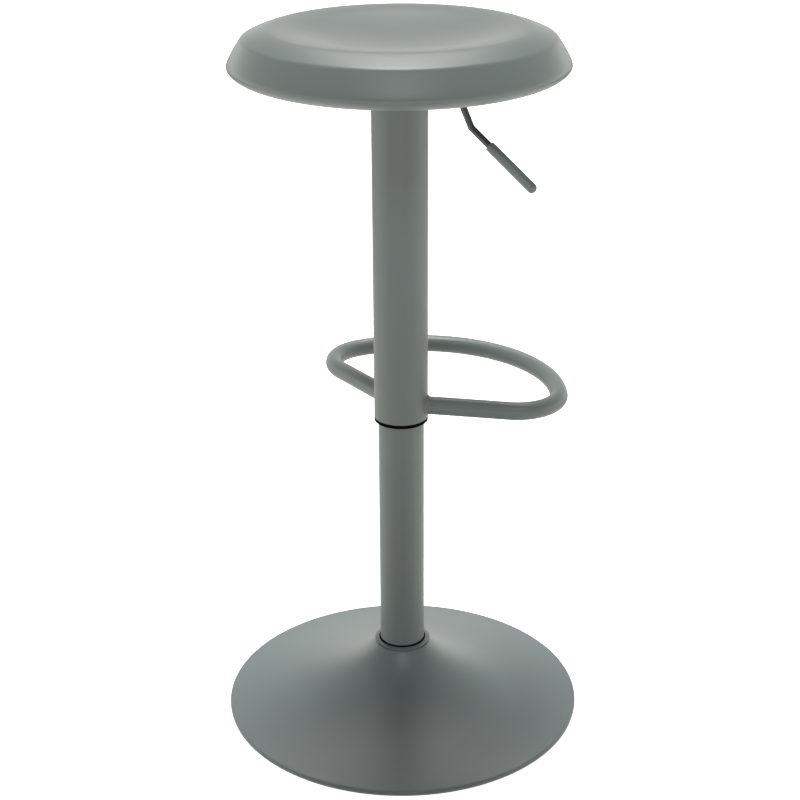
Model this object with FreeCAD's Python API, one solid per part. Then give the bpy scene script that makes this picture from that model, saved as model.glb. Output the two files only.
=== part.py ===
import FreeCAD, Part
import math
import os

# A height-adjustable bar stool with a round dished seat on a telescopic column and a trumpet base.
# Millimetres, +Z up. The origin is the centre of the base on the floor. The footrest faces -Y
# and the lift lever points to -X. The lift is drawn fully raised.

V = FreeCAD.Vector
UP = V(0, 0, 1)
ORIGIN = V(0, 0, 0)

# Overall sizes
SEAT_HEIGHT = 794.0
SEAT_RADIUS = 177.4
BASE_RADIUS = 204.6
COLUMN_RADIUS = 25.4
LIFT_TRAVEL = 210.0

# Clearances
SNUG = 0.05
RUNNING = 0.10
LOOSE = 0.30

# Base: floor ring, ballast plate and the pressed cover
RING_THICK = 3.0
RING_INSET = 0.6
RING_SHELF = 12.0
RING_UPSTAND = 1.2
RING_UPSTAND_WALL = 1.8
PLATE_THICK = 5.0
PLATE_INSET = 27.0
PLATE_HOLE_RADIUS = 12.0
COVER_WALL = 1.5
RIM_HEIGHT = 1.3
RIM_ROUND = 2.0
RIM_SLOPE = 8.0
NECK_HEIGHT = 77.4
NECK_SLOPE = 58.0
NECK_LEDGE = 0.4
FLARE_FULLNESS = 1.0

# Collar round the foot of the column
COLLAR_GAP = 1.6
COLLAR_WIDTH = 4.8
COLLAR_THICK = 1.7
COLLAR_STEP = 1.9
COLLAR_RECESS = 1.7
COLLAR_SPIGOT = 7.0
COLLAR_LAND = 1.2
COLLAR_LIP = 0.6
COLLAR_ROUND = 1.6
SEAL_HEIGHT = 9.0
SEAL_PROUD = 1.2
SEAL_ROUND = 0.8

# Foot of the column and its screws
FOOT_FLANGE = 6.0
FOOT_SPIGOT = 26.0
FOOT_EDGE = 11.0
SCREW_RADIUS = 3.0
SCREW_OUT = 8.0
SCREW_HEAD_RADIUS = 5.9
SCREW_KEY_RADIUS = 2.3
SCREW_COUNT = 4

# Column tube and the guide bush in its top
COLUMN_WALL = 2.0
TUBE_OVERLAP = 67.0
GUIDE_FLANGE = 3.0
GUIDE_LENGTH = 100.0

# Sleeve that carries the footrest and slides over the column
SLEEVE_WALL = 1.5
BUSH_WALL = 2.75
BUSH_FLANGE = 3.9
BUSH_SPIGOT = 30.0
BUSH_ROUND = 0.4
LOWERED_GAP = 68.1
SLEEVE_RING_HEIGHT = 16.0

# Thrust bearing on the foot
NECK_ROD_RADIUS = 4.0
RACE_RADIUS = 13.0
RACE_THICK = 2.5
RACE_PLAY = 0.6
BALL_RADIUS = 2.0
BALL_CIRCLE = 9.0
BALL_COUNT = 10
GROOVE_DEPTH = 0.9
CAGE_THICK = 1.6

# Gas spring
ROD_RADIUS = 5.0
ROD_END = 3.0
CLIP_THICK = 1.2
CLIP_RADIUS = 8.0
CLIP_GROOVE = 0.8
CLIP_MOUTH = 5.0
BUMP_HEIGHT = 10.0
BUMP_RADIUS = 11.0
BUMP_GAP = 5.0
CYLINDER_RADIUS = 14.0
CYLINDER_WALL = 1.6
CYLINDER_END = 8.5
CYLINDER_PROUD = 5.5
TAPER_LENGTH = 48.5
TAPER_DROP = 1.2
GLAND_HEIGHT = 8.0
GLAND_SEAL = 4.0
INNER_TUBE_WALL = 1.0
INNER_TUBE_SPACE = 1.2
PISTON_HEIGHT = 12.0
PISTON_TOP_GAP = 2.0
PISTON_PLAY = 0.3
PISTON_GROOVE = 3.0
VALVE_RADIUS = 10.0
VALVE_LENGTH = 46.0
VALVE_FLANGE = 8.0
PIN_RADIUS = 4.0
PIN_LENGTH = 13.5
PIN_DOME = 10.0
PIN_SOCKET = 4.5

# Seat shell
SEAT_WALL = 2.0
CREST_RADIUS = 132.3
CREST_ROUND = 150.0
DISH_DEPTH = 14.0
FACE_SLOPE = 25.0
FACE_FULLNESS = 0.85
BEND_CENTRE = 156.2
BEND_DROP = 17.0
BEND_RADIUS = 9.0
FLANK_SLOPE = 56.0
FLANK_FULLNESS = 0.8
EDGE_DROP = 37.0
TUCK_DROP = 14.8
TUCK_REACH = 34.4
TUCK_FULLNESS = 0.58

# Mechanism under the seat
MOUNT_DROP = 12.0
MOUNT_RADIUS = 95.0
MOUNT_WALL = 2.5
MOUNT_FLANGE = 27.0
MOUNT_THICK = 3.0
PLATE_SHEET = 2.0
PLATE_HALF = 75.0
PLATE_CORNER = 15.0
TRAY_HALF_X = 42.0
TRAY_HALF_Y = 45.0
TRAY_CORNER = 8.0
TRAY_DEPTH = 28.0
PRESS_ROUND = 4.0
BOLT_HALF = 60.0
BOLT_RADIUS = 3.0
BOLT_HOLE = 3.3
BOLT_LENGTH = 14.0
BOLT_HEAD_RADIUS = 5.4
BOLT_HEAD = 4.0
BOLT_KEY_RADIUS = 2.6
WASHER_RADIUS = 6.4
WASHER_THICK = 1.2
NUT_RADIUS = 5.7
NUT_HEIGHT = 5.0
HUB_RADIUS = 19.0
HUB_LENGTH = 36.0
HUB_PROUD = 4.0

# Lever
LEVER_RADIUS = 3.5
LEVER_HEIGHT = 12.0
LEVER_PULL = 7.5
PIVOT_OUT = 27.0
PIVOT_RADIUS = 2.5
PIVOT_HEAD = 4.0
PIVOT_HEAD_THICK = 1.2
BOSS_RADIUS = 5.5
EAR_HALF = 8.0
EAR_THICK = 2.0
EAR_LENGTH = 12.0
TONGUE_THICK = 4.0
TONGUE_HALF = 5.0
TONGUE_PAST = 5.0
ELBOW_REACH = 87.0
ELBOW_DROP = 51.9
STEEP_ANGLE = 63.5
SHALLOW_ANGLE = 36.4
STEEP_BEND = 14.0
ELBOW_BEND = 7.0
GRIP_START = 26.7
GRIP_LENGTH = 66.6
GRIP_RADIUS = 5.2
GRIP_SOLID_END = 12.0
GRIP_EDGE = 0.3

# Footrest
FOOTREST_TUBE = 8.0
FOOTREST_WALL = 1.5
FOOTREST_RISE = 14.7
FOOTREST_REACH = 202.2
FOOTREST_ARC = 159.2
FOOTREST_BEND = 48.6
FOOTREST_LEG_ANGLE = 68.1
WELD_LEG = 2.0

# Levels of the base, counted from the floor
plate_top = RING_THICK + PLATE_THICK
foot_top = plate_top + FOOT_FLANGE
spigot_top = foot_top + FOOT_SPIGOT
race_half = BALL_RADIUS + RUNNING - GROOVE_DEPTH
ball_level = spigot_top + RACE_THICK + race_half
shoulder = ball_level + race_half + RACE_THICK
bump_top = shoulder + BUMP_HEIGHT
collar_top = NECK_HEIGHT + COLLAR_STEP + COLLAR_THICK

# Levels of the lift, raised
dish_level = SEAT_HEIGHT - DISH_DEPTH
shell_under = dish_level - SEAT_WALL
mount_level = shell_under - MOUNT_DROP
tray_under = mount_level - TRAY_DEPTH
tray_floor = tray_under + PLATE_SHEET
lever_level = tray_floor + LEVER_HEIGHT
hub_top = tray_under + HUB_PROUD
hub_bottom = hub_top - HUB_LENGTH
cylinder_top = tray_under + CYLINDER_PROUD
cylinder_bottom = bump_top + BUMP_GAP + LIFT_TRAVEL
gland_top = cylinder_bottom + GLAND_HEIGHT + GLAND_SEAL
piston_bottom = gland_top + PISTON_TOP_GAP
piston_top = piston_bottom + PISTON_HEIGHT
valve_top = cylinder_top - CYLINDER_END
valve_shoulder = valve_top - VALVE_LENGTH
valve_bottom = valve_shoulder - VALVE_FLANGE
pin_top = lever_level - TONGUE_THICK / 2 - LOOSE
sleeve_bottom = collar_top + LOWERED_GAP + LIFT_TRAVEL + BUSH_FLANGE
column_top = sleeve_bottom + TUBE_OVERLAP
footrest_level = sleeve_bottom + FOOTREST_RISE

# Radii that follow from what they fit
column_bore = COLUMN_RADIUS - COLUMN_WALL
sleeve_bore = COLUMN_RADIUS + RUNNING + BUSH_WALL + SNUG
sleeve_radius = sleeve_bore + SLEEVE_WALL
collar_bore = COLUMN_RADIUS + COLLAR_GAP
collar_radius = collar_bore + COLLAR_WIDTH
cover_neck = collar_radius - NECK_LEDGE
plate_radius = BASE_RADIUS - PLATE_INSET
screw_circle = COLUMN_RADIUS + SCREW_OUT
foot_radius = screw_circle + FOOT_EDGE
cylinder_bore = CYLINDER_RADIUS - CYLINDER_WALL
inner_tube_radius = cylinder_bore - INNER_TUBE_SPACE
inner_tube_bore = inner_tube_radius - INNER_TUBE_WALL
elbow_level = lever_level - ELBOW_DROP
steep_start = ELBOW_REACH - ELBOW_DROP / math.tan(math.radians(STEEP_ANGLE))


def at(r, z):
    """A point of a turned profile: radius r from the column's axis, at height z."""
    return V(r, 0, z)


def conic(start, corner, end, fullness):
    """A conic arc that leaves start towards corner and reaches end from corner."""
    curve = Part.BezierCurve()
    curve.setPoles([start, corner, end])
    curve.setWeight(2, fullness)
    return curve


def line(a, b):
    """A straight edge."""
    return Part.LineSegment(a, b).toShape()


def rounded(corners, closed=True):
    """Straight edges through the corners; a corner is (point, radius) and gets a tangent arc."""
    count = len(corners)
    stops = []
    for i, (point, radius) in enumerate(corners):
        if radius == 0 or (not closed and i in (0, count - 1)):
            stops.append((point, None, point))
            continue
        back = (corners[i - 1][0] - point).normalize()
        ahead = (corners[(i + 1) % count][0] - point).normalize()
        half = back.getAngle(ahead) / 2
        inward = (back + ahead).normalize()
        reach = radius / math.tan(half)
        middle = point + inward * (radius / math.sin(half) - radius)
        stops.append((point + back * reach, middle, point + ahead * reach))
    edges = []
    for i, (first, middle, last) in enumerate(stops):
        if middle is not None:
            edges.append(Part.Arc(first, middle, last).toShape())
        if closed or i < count - 1:
            edges.append(line(last, stops[(i + 1) % count][0]))
    return edges


def turned(edges):
    """The solid that a closed profile in the XZ plane sweeps round the Z axis."""
    return Part.Face(Part.Wire(edges)).revolve(ORIGIN, UP, 360)


def turned_ring(*corners):
    """A turned ring; each corner of its section is (r, z) or (r, z, radius)."""
    section = [(at(c[0], c[1]), c[2] if len(c) > 2 else 0) for c in corners]
    return turned(rounded(section))


def tube(outer, inner, low, high):
    """A round tube about the Z axis."""
    return rod(outer, low, high).cut(rod(inner, low - 1, high + 1))


def rod(radius, low, high, x=0, y=0):
    """A round bar along Z."""
    return Part.makeCylinder(radius, high - low, V(x, y, low), UP)


def block(half_x, half_y, corner, low, high):
    """An upright block about the Z axis with rounded corners."""
    points = [V(half_x, half_y, low), V(-half_x, half_y, low),
              V(-half_x, -half_y, low), V(half_x, -half_y, low)]
    edges = rounded([(p, corner) for p in points])
    return Part.Face(Part.Wire(edges)).extrude(V(0, 0, high - low))


def hexagon(radius, low, high, x=0, y=0):
    """A six-sided bar along Z, radius measured to its corners."""
    turns = [math.radians(60 * i) for i in range(6)]
    points = [V(x + radius * math.cos(a), y + radius * math.sin(a), low) for a in turns]
    return Part.Face(Part.makePolygon(points + points[:1])).extrude(V(0, 0, high - low))


def swept(path, radius):
    """A round bar along a path of edges in one plane."""
    start = path[0].valueAt(path[0].FirstParameter)
    heading = path[0].tangentAt(path[0].FirstParameter)
    section = Part.Wire(Part.makeCircle(radius, start, heading))
    return Part.Wire(path).makePipeShell([section], True, False)


def fused(shapes):
    """Several solids that are one piece of metal."""
    return shapes[0].multiFuse(shapes[1:]).removeSplitter()


def level_edges(shape, z):
    """The edges of a shape that lie flat at height z."""
    return [e for e in shape.Edges if e.BoundBox.ZMin > z - SNUG and e.BoundBox.ZMax < z + SNUG]


def polar(count, radius, turn=0.0):
    """Points evenly spaced on a circle about the Z axis."""
    angles = [math.radians(turn + 360.0 * i / count) for i in range(count)]
    return [(radius * math.cos(a), radius * math.sin(a)) for a in angles]


def corners_of(half):
    """The four corners of a square about the Z axis."""
    return [(sx * half, sy * half) for sx in (-1, 1) for sy in (-1, 1)]


# Base

def rim_centre():
    """Centre of the small round between the cover's upright lip and its flare."""
    return at(BASE_RADIUS - RIM_ROUND, RING_THICK + RIM_HEIGHT)


def flare_ends():
    """Neck point, control corner and rim point of the cover's outer flare."""
    neck = at(cover_neck, NECK_HEIGHT)
    slope = math.radians(RIM_SLOPE)
    rim = rim_centre() + V(math.sin(slope), 0, math.cos(slope)) * RIM_ROUND
    steep = math.tan(math.radians(NECK_SLOPE))
    shallow = math.tan(slope)
    r = (neck.z + steep * neck.x - rim.z - shallow * rim.x) / (steep - shallow)
    return neck, at(r, rim.z + shallow * (rim.x - r)), rim


def flare_inside(curve):
    """The flare moved in by the cover's wall, as a smooth curve through offset points."""
    steps = 12
    points = []
    for i in range(steps + 1):
        t = i / steps
        ahead = curve.tangent(t)[0]
        points.append(curve.value(t) + V(ahead.z, 0, -ahead.x) * COVER_WALL)
    first = curve.tangent(0.0)[0]
    last = curve.tangent(1.0)[0]
    inside = Part.BSplineCurve()
    inside.interpolate(Points=points, InitialTangent=first, FinalTangent=last)
    return inside


def base_cover():
    """The trumpet: a steep neck that flares out to a shallow rim with an upright lip."""
    neck, corner, rim = flare_ends()
    outside = conic(neck, corner, rim, FLARE_FULLNESS)
    inside = flare_inside(outside)
    centre = rim_centre()
    bisector = math.radians((90 + RIM_SLOPE) / 2)
    toward = V(math.sin(bisector), 0, math.cos(bisector))
    wall_in = RIM_ROUND - COVER_WALL
    lip_out = at(BASE_RADIUS, centre.z)
    lip_in = at(BASE_RADIUS - COVER_WALL, centre.z)
    foot_out = at(BASE_RADIUS, RING_THICK)
    foot_in = at(BASE_RADIUS - COVER_WALL, RING_THICK)
    inner_rim = inside.value(inside.LastParameter)
    inner_neck = inside.value(inside.FirstParameter)
    edges = [
        outside.toShape(),
        Part.Arc(rim, centre + toward * RIM_ROUND, lip_out).toShape(),
        line(lip_out, foot_out),
        line(foot_out, foot_in),
        line(foot_in, lip_in),
        Part.Arc(lip_in, centre + toward * wall_in, inner_rim).toShape(),
        inside.toShape(),
        line(inner_neck, neck),
    ]
    return turned(Part.__sortEdges__(edges))


def floor_ring():
    """Pale plastic ring: a shelf under the ballast plate and an upstand inside the cover's lip."""
    edge = BASE_RADIUS - RING_INSET
    upstand = BASE_RADIUS - COVER_WALL - LOOSE
    shelf = plate_radius - RING_SHELF
    top = RING_THICK + RING_UPSTAND
    return turned_ring(
        (shelf, 0, 0.5), (edge, 0, 0.8), (edge, RING_THICK), (upstand, RING_THICK),
        (upstand, top, 0.4), (upstand - RING_UPSTAND_WALL, top, 0.4),
        (upstand - RING_UPSTAND_WALL, RING_THICK), (shelf, RING_THICK, 0.5))


def ballast_plate():
    """Steel disc that gives the stool its weight, countersunk from below for the foot's screws."""
    plate = tube(plate_radius, PLATE_HOLE_RADIUS, RING_THICK, plate_top)
    head = SCREW_HEAD_RADIUS + SNUG
    hole = SCREW_RADIUS + SNUG
    for x, y in polar(SCREW_COUNT, screw_circle, 45):
        plate = plate.cut(rod(hole, RING_THICK - 1, plate_top + 1, x, y))
        plate = plate.cut(Part.makeCone(head, hole, head - hole, V(x, y, RING_THICK), UP))
    return plate


def column_foot():
    """Turned steel foot: a flange on the plate, a spigot in the column and the rod's bore."""
    bore = NECK_ROD_RADIUS + RUNNING
    spigot = column_bore - SNUG
    foot = turned_ring(
        (bore, plate_top), (foot_radius, plate_top), (foot_radius, foot_top, 1.0),
        (spigot, foot_top), (spigot, spigot_top, 1.0), (bore, spigot_top))
    for x, y in polar(SCREW_COUNT, screw_circle, 45):
        foot = foot.cut(rod(SCREW_RADIUS + SNUG, plate_top - 1, foot_top + 1, x, y))
    return foot


def foot_screws():
    """Countersunk screws that hold the foot down on the plate."""
    head = SCREW_HEAD_RADIUS
    cone = head - SCREW_RADIUS
    end = foot_top - 0.5
    screws = []
    for x, y in polar(SCREW_COUNT, screw_circle, 45):
        screw = Part.makeCone(head, SCREW_RADIUS, cone, V(x, y, RING_THICK), UP)
        screw = screw.fuse(rod(SCREW_RADIUS, RING_THICK + cone, end, x, y))
        screws.append(screw.cut(hexagon(SCREW_KEY_RADIUS, RING_THICK - 1, RING_THICK + cone, x, y)))
    return Part.makeCompound(screws)


def column_tube():
    """Fixed lower tube of the column."""
    return tube(COLUMN_RADIUS, column_bore, foot_top, column_top)


def guide_bush():
    """Plastic bush in the top of the column that guides the gas spring's cylinder."""
    bore = CYLINDER_RADIUS + RUNNING
    body = column_bore - SNUG
    return turned_ring(
        (bore, column_top - GUIDE_LENGTH), (body, column_top - GUIDE_LENGTH, 1.0), (body, column_top),
        (COLUMN_RADIUS, column_top), (COLUMN_RADIUS, column_top + GUIDE_FLANGE, 1.0),
        (bore, column_top + GUIDE_FLANGE))


def collar_ring():
    """Painted ring on the neck: a spigot, a narrow step on the neck and a lip that slopes outwards."""
    neck = flare_inside(conic(*flare_ends(), FLARE_FULLNESS))
    spigot = neck.value(neck.FirstParameter).x - LOOSE
    lip = NECK_HEIGHT + COLLAR_STEP
    recess = collar_radius - COLLAR_RECESS
    return turned_ring(
        (collar_bore, NECK_HEIGHT - COLLAR_SPIGOT), (spigot, NECK_HEIGHT - COLLAR_SPIGOT),
        (spigot, NECK_HEIGHT), (recess, NECK_HEIGHT), (recess, lip),
        (collar_radius, lip, COLLAR_LIP / 3), (collar_radius, lip + COLLAR_LIP, COLLAR_LIP / 3),
        (collar_bore + COLLAR_LAND, collar_top, COLLAR_ROUND), (collar_bore, collar_top, COLLAR_LIP / 3))


def collar_seal():
    """Black rubber ring that fills the gap between collar and column and stands a little proud."""
    inner = COLUMN_RADIUS + SNUG
    outer = collar_bore - SNUG
    top = collar_top + SEAL_PROUD
    low = top - SEAL_HEIGHT
    return turned_ring((inner, low), (outer, low), (outer, top, SEAL_ROUND), (inner, top))


# Thrust bearing

def race(bore, low, high):
    """A grooved bearing washer."""
    groove = Part.makeTorus(BALL_CIRCLE, BALL_RADIUS + RUNNING, V(0, 0, ball_level), UP)
    return tube(RACE_RADIUS, bore, low, high).cut(groove)


def bearing_race_lower():
    """Fixed washer on the foot's spigot."""
    return race(NECK_ROD_RADIUS + RACE_PLAY, spigot_top, spigot_top + RACE_THICK)


def bearing_race_upper():
    """Washer that turns with the rod, under its shoulder."""
    return race(NECK_ROD_RADIUS + SNUG, shoulder - RACE_THICK, shoulder)


def ball_cage():
    """Flat ring with a pocket for each ball."""
    low = ball_level - CAGE_THICK / 2
    high = ball_level + CAGE_THICK / 2
    cage = tube(RACE_RADIUS - LOOSE, NECK_ROD_RADIUS + 2 * RACE_PLAY, low, high)
    for x, y in polar(BALL_COUNT, BALL_CIRCLE):
        cage = cage.cut(rod(BALL_RADIUS + RUNNING, low - 1, high + 1, x, y))
    return cage


def bearing_balls():
    """The bearing's balls, between the two races."""
    spots = polar(BALL_COUNT, BALL_CIRCLE)
    return Part.makeCompound([Part.makeSphere(BALL_RADIUS, V(x, y, ball_level)) for x, y in spots])


# Rod, which stays down in the foot and turns with the seat

def clip_level():
    """Underside of the clip that keeps the rod in the foot."""
    return plate_top - LOOSE - CLIP_THICK


def piston_rod():
    """Polished rod: a neck through the foot, a shoulder on the bearing and the piston on top."""
    groove = NECK_ROD_RADIUS - CLIP_GROOVE
    low = clip_level() - SNUG
    high = clip_level() + CLIP_THICK + SNUG
    neck = NECK_ROD_RADIUS
    end = plate_top - ROD_END
    return turned_ring(
        (0, end), (neck, end, 0.4), (neck, low), (groove, low), (groove, high), (neck, high),
        (neck, shoulder), (ROD_RADIUS, shoulder), (ROD_RADIUS, piston_top, 0.6), (0, piston_top))


def rod_clip():
    """Open spring clip in the rod's groove, under the foot."""
    inner = NECK_ROD_RADIUS - CLIP_GROOVE + SNUG
    low = clip_level()
    ring = tube(CLIP_RADIUS, inner, low, low + CLIP_THICK)
    mouth_corner = V(0, -CLIP_MOUTH / 2, low - CLIP_THICK / 2)
    mouth = Part.makeBox(CLIP_RADIUS, CLIP_MOUTH, 2 * CLIP_THICK, mouth_corner)
    return ring.cut(mouth)


def bump_rubber():
    """Rubber ring on the upper race that softens the end of the travel."""
    inner = ROD_RADIUS + SNUG
    return turned_ring((inner, shoulder), (BUMP_RADIUS, shoulder, 1.0), (BUMP_RADIUS, bump_top, 2.5),
                       (inner, bump_top, 1.0))


def piston():
    """Piston on the rod, with a groove for its seal."""
    outer = inner_tube_bore - PISTON_PLAY
    groove = outer - PISTON_GROOVE / 2
    middle = (piston_bottom + piston_top) / 2
    low = middle - PISTON_GROOVE / 2
    high = middle + PISTON_GROOVE / 2
    inner = ROD_RADIUS + SNUG
    return turned_ring(
        (inner, piston_bottom), (outer, piston_bottom, 0.8), (outer, low), (groove, low), (groove, high),
        (outer, high), (outer, piston_top, 0.8), (inner, piston_top))


def piston_seal():
    """Rubber ring in the piston's groove that runs in the inner tube."""
    middle = (piston_bottom + piston_top) / 2
    half = PISTON_GROOVE / 2 - SNUG
    inner = inner_tube_bore - PISTON_PLAY - PISTON_GROOVE / 2 + SNUG
    outer = inner_tube_bore - RUNNING
    return turned_ring((inner, middle - half), (outer, middle - half, 0.5), (outer, middle + half, 0.5),
                       (inner, middle + half))


# Gas spring, which rises with the seat

def taper_radius(z):
    """Radius of the cylinder's tapered top at height z."""
    start = cylinder_top - TAPER_LENGTH
    return CYLINDER_RADIUS - TAPER_DROP * (z - start) / TAPER_LENGTH


def gas_cylinder():
    """Pressure cylinder with a tapered top that wedges in the seat's hub."""
    top = taper_radius(cylinder_top)
    hole = PIN_RADIUS + RUNNING
    return turned_ring(
        (cylinder_bore, cylinder_bottom), (CYLINDER_RADIUS, cylinder_bottom, 0.8),
        (CYLINDER_RADIUS, cylinder_top - TAPER_LENGTH), (top, cylinder_top, 0.8), (hole, cylinder_top),
        (hole, valve_top), (VALVE_RADIUS, valve_top), (VALVE_RADIUS, valve_shoulder),
        (cylinder_bore, valve_shoulder))


def cylinder_gland():
    """Plug that closes the bottom of the cylinder round the rod."""
    top = cylinder_bottom + GLAND_HEIGHT
    return tube(cylinder_bore - SNUG, ROD_RADIUS + RUNNING, cylinder_bottom, top)


def gland_seal():
    """Rubber seal on the gland that keeps the gas in."""
    return tube(cylinder_bore - SNUG, ROD_RADIUS + RUNNING, cylinder_bottom + GLAND_HEIGHT, gland_top)


def inner_tube():
    """Thin tube that the piston runs in, between the gland and the valve."""
    return tube(inner_tube_radius, inner_tube_bore, gland_top, valve_bottom)


def valve_body():
    """Valve at the top of the cylinder, with the socket that the release pin pushes into."""
    body = VALVE_RADIUS - SNUG
    flange = cylinder_bore - SNUG
    top = valve_top - SNUG
    socket = PIN_RADIUS + RUNNING
    return turned_ring(
        (0, valve_bottom), (flange, valve_bottom), (flange, valve_shoulder - SNUG),
        (body, valve_shoulder - SNUG), (body, top), (socket, top), (socket, top - PIN_SOCKET),
        (0, top - PIN_SOCKET))


def release_pin():
    """Pin with a domed head that the lever presses down to open the valve."""
    edge = pin_top - PIN_DOME + math.sqrt(PIN_DOME ** 2 - PIN_RADIUS ** 2)
    half = PIN_RADIUS / 2
    midway = at(half, pin_top - PIN_DOME + math.sqrt(PIN_DOME ** 2 - half ** 2))
    dome = Part.Arc(at(PIN_RADIUS, edge), midway, at(0, pin_top)).toShape()
    low = pin_top - PIN_LENGTH
    return turned([line(at(0, pin_top), at(0, low)), line(at(0, low), at(PIN_RADIUS, low)),
                   line(at(PIN_RADIUS, low), at(PIN_RADIUS, edge)), dome])


# Sleeve and footrest

def sleeve_tube():
    """Upper tube of the column, from the seat plate down over the lower tube."""
    return tube(sleeve_radius, sleeve_bore, sleeve_bottom, tray_under)


def sleeve_ring():
    """Ring that centres the top of the sleeve on the taper hub."""
    return tube(sleeve_bore - SNUG, HUB_RADIUS + SNUG, tray_under - SLEEVE_RING_HEIGHT, tray_under)


def sleeve_bush():
    """Black plastic bush in the bottom of the sleeve that slides on the lower tube."""
    bore = COLUMN_RADIUS + RUNNING
    low = sleeve_bottom - BUSH_FLANGE
    body = sleeve_bore - SNUG
    return turned_ring(
        (bore, low), (sleeve_radius, low, BUSH_ROUND), (sleeve_radius, sleeve_bottom),
        (body, sleeve_bottom), (body, sleeve_bottom + BUSH_SPIGOT, 0.8),
        (bore, sleeve_bottom + BUSH_SPIGOT))


def footrest_path():
    """Centreline of the loop: two legs out from the column, two bends and the long front arc."""
    lean = math.radians(FOOTREST_LEG_ANGLE)
    arc_centre = FOOTREST_REACH - FOOTREST_TUBE - FOOTREST_ARC
    along = V(math.sin(lean), -math.cos(lean), 0)
    across = V(-math.cos(lean), -math.sin(lean), 0)
    centre = V(0, -arc_centre, 0)
    known = across * FOOTREST_BEND - centre
    b = along.dot(known)
    c = known.dot(known) - (FOOTREST_ARC - FOOTREST_BEND) ** 2
    leg = -b + math.sqrt(b * b - c)
    level = V(0, 0, footrest_level)
    start = along * (sleeve_radius / 2)
    bend_start = along * leg
    bend_centre = bend_start + across * FOOTREST_BEND
    outward = (bend_centre - centre).normalize()
    bend_end = bend_centre + outward * FOOTREST_BEND
    bend_middle = bend_centre + (outward - across).normalize() * FOOTREST_BEND
    front = centre + V(0, -FOOTREST_ARC, 0)

    def mirrored(p):
        return V(-p.x, p.y, p.z)

    return [
        line(start + level, bend_start + level),
        Part.Arc(bend_start + level, bend_middle + level, bend_end + level).toShape(),
        Part.Arc(bend_end + level, front + level, mirrored(bend_end) + level).toShape(),
        Part.Arc(mirrored(bend_end) + level, mirrored(bend_middle) + level,
                 mirrored(bend_start) + level).toShape(),
        line(mirrored(bend_start) + level, mirrored(start) + level),
    ]


def footrest():
    """Bent tube loop, welded to the sleeve with a bead round each leg."""
    path = footrest_path()
    pieces = [swept(path, FOOTREST_TUBE)]
    lean = math.radians(FOOTREST_LEG_ANGLE)
    for side in (-1, 1):
        along = V(side * math.sin(lean), -math.cos(lean), 0)
        start = along * (sleeve_radius - WELD_LEG)
        start.z = footrest_level
        bead = Part.makeCone(FOOTREST_TUBE + 2 * WELD_LEG, FOOTREST_TUBE, 2 * WELD_LEG, start, along)
        pieces.append(bead)
    loop = fused(pieces)
    loop = loop.cut(swept(path, FOOTREST_TUBE - FOOTREST_WALL))
    low = footrest_level - 3 * FOOTREST_TUBE
    high = footrest_level + 3 * FOOTREST_TUBE
    return loop.cut(rod(sleeve_radius, low, high))


# Seat

def bowl_sizes():
    """Radius of the bowl's arc and the angle where it turns into the crest's arc."""
    angle = 2 * math.atan(DISH_DEPTH / CREST_RADIUS)
    return CREST_RADIUS / math.sin(angle) - CREST_ROUND, angle


def under_bowl(r):
    """Height of the shell's underside at radius r, within the bowl."""
    bowl, _ = bowl_sizes()
    return dish_level + bowl - math.sqrt((bowl + SEAT_WALL) ** 2 - r ** 2)


def seat_top_arcs(wall):
    """The dish and the crest's round, moved in by a wall thickness."""
    bowl, angle = bowl_sizes()
    low_centre = at(0, dish_level + bowl)
    high_centre = at(CREST_RADIUS, SEAT_HEIGHT - CREST_ROUND)

    def low_point(a):
        return low_centre + at(math.sin(a), -math.cos(a)) * (bowl + wall)

    def high_point(a):
        return high_centre + at(-math.sin(a), math.cos(a)) * (CREST_ROUND - wall)

    return [Part.Arc(low_point(0), low_point(angle / 2), low_point(angle)).toShape(),
            Part.Arc(high_point(angle), high_point(angle / 2), high_point(0)).toShape()]


def seat_side(wall):
    """Face outside the crest, bend, flank and tucked skirt, moved in by a wall thickness."""
    top = SEAT_HEIGHT - wall
    outer = SEAT_RADIUS - wall
    widest = SEAT_HEIGHT - EDGE_DROP
    low = widest - TUCK_DROP + wall
    tuck = SEAT_RADIUS - TUCK_REACH
    centre = at(BEND_CENTRE, SEAT_HEIGHT - BEND_DROP)
    face = math.radians(FACE_SLOPE)
    flank = math.radians(FLANK_SLOPE)

    def bend_point(a):
        return centre + at(math.sin(a), math.cos(a)) * (BEND_RADIUS - wall)

    first = bend_point(face)
    last = bend_point(flank)
    face_corner = at(first.x - (top - first.z) / math.tan(face), top)
    flank_corner = at(outer, last.z - (outer - last.x) * math.tan(flank))
    return [conic(at(CREST_RADIUS, top), face_corner, first, FACE_FULLNESS).toShape(),
            Part.Arc(first, bend_point((face + flank) / 2), last).toShape(),
            conic(last, flank_corner, at(outer, widest), FLANK_FULLNESS).toShape(),
            conic(at(outer, widest), at(outer, low), at(tuck, low), TUCK_FULLNESS).toShape()]


def seat_shell():
    """Pressed steel seat: a shallow dish, a raised crest and an edge tucked under to a hem."""
    tuck = SEAT_RADIUS - TUCK_REACH
    low = SEAT_HEIGHT - EDGE_DROP - TUCK_DROP
    half = SEAT_WALL / 2
    hem = Part.Arc(at(tuck, low), at(tuck - half, low + half), at(tuck, low + SEAT_WALL)).toShape()
    middle = line(at(0, shell_under), at(0, dish_level))
    outside = seat_top_arcs(0) + seat_side(0)
    inside = seat_side(SEAT_WALL) + seat_top_arcs(SEAT_WALL)
    return turned(Part.__sortEdges__(outside + [hem] + inside + [middle]))


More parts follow.
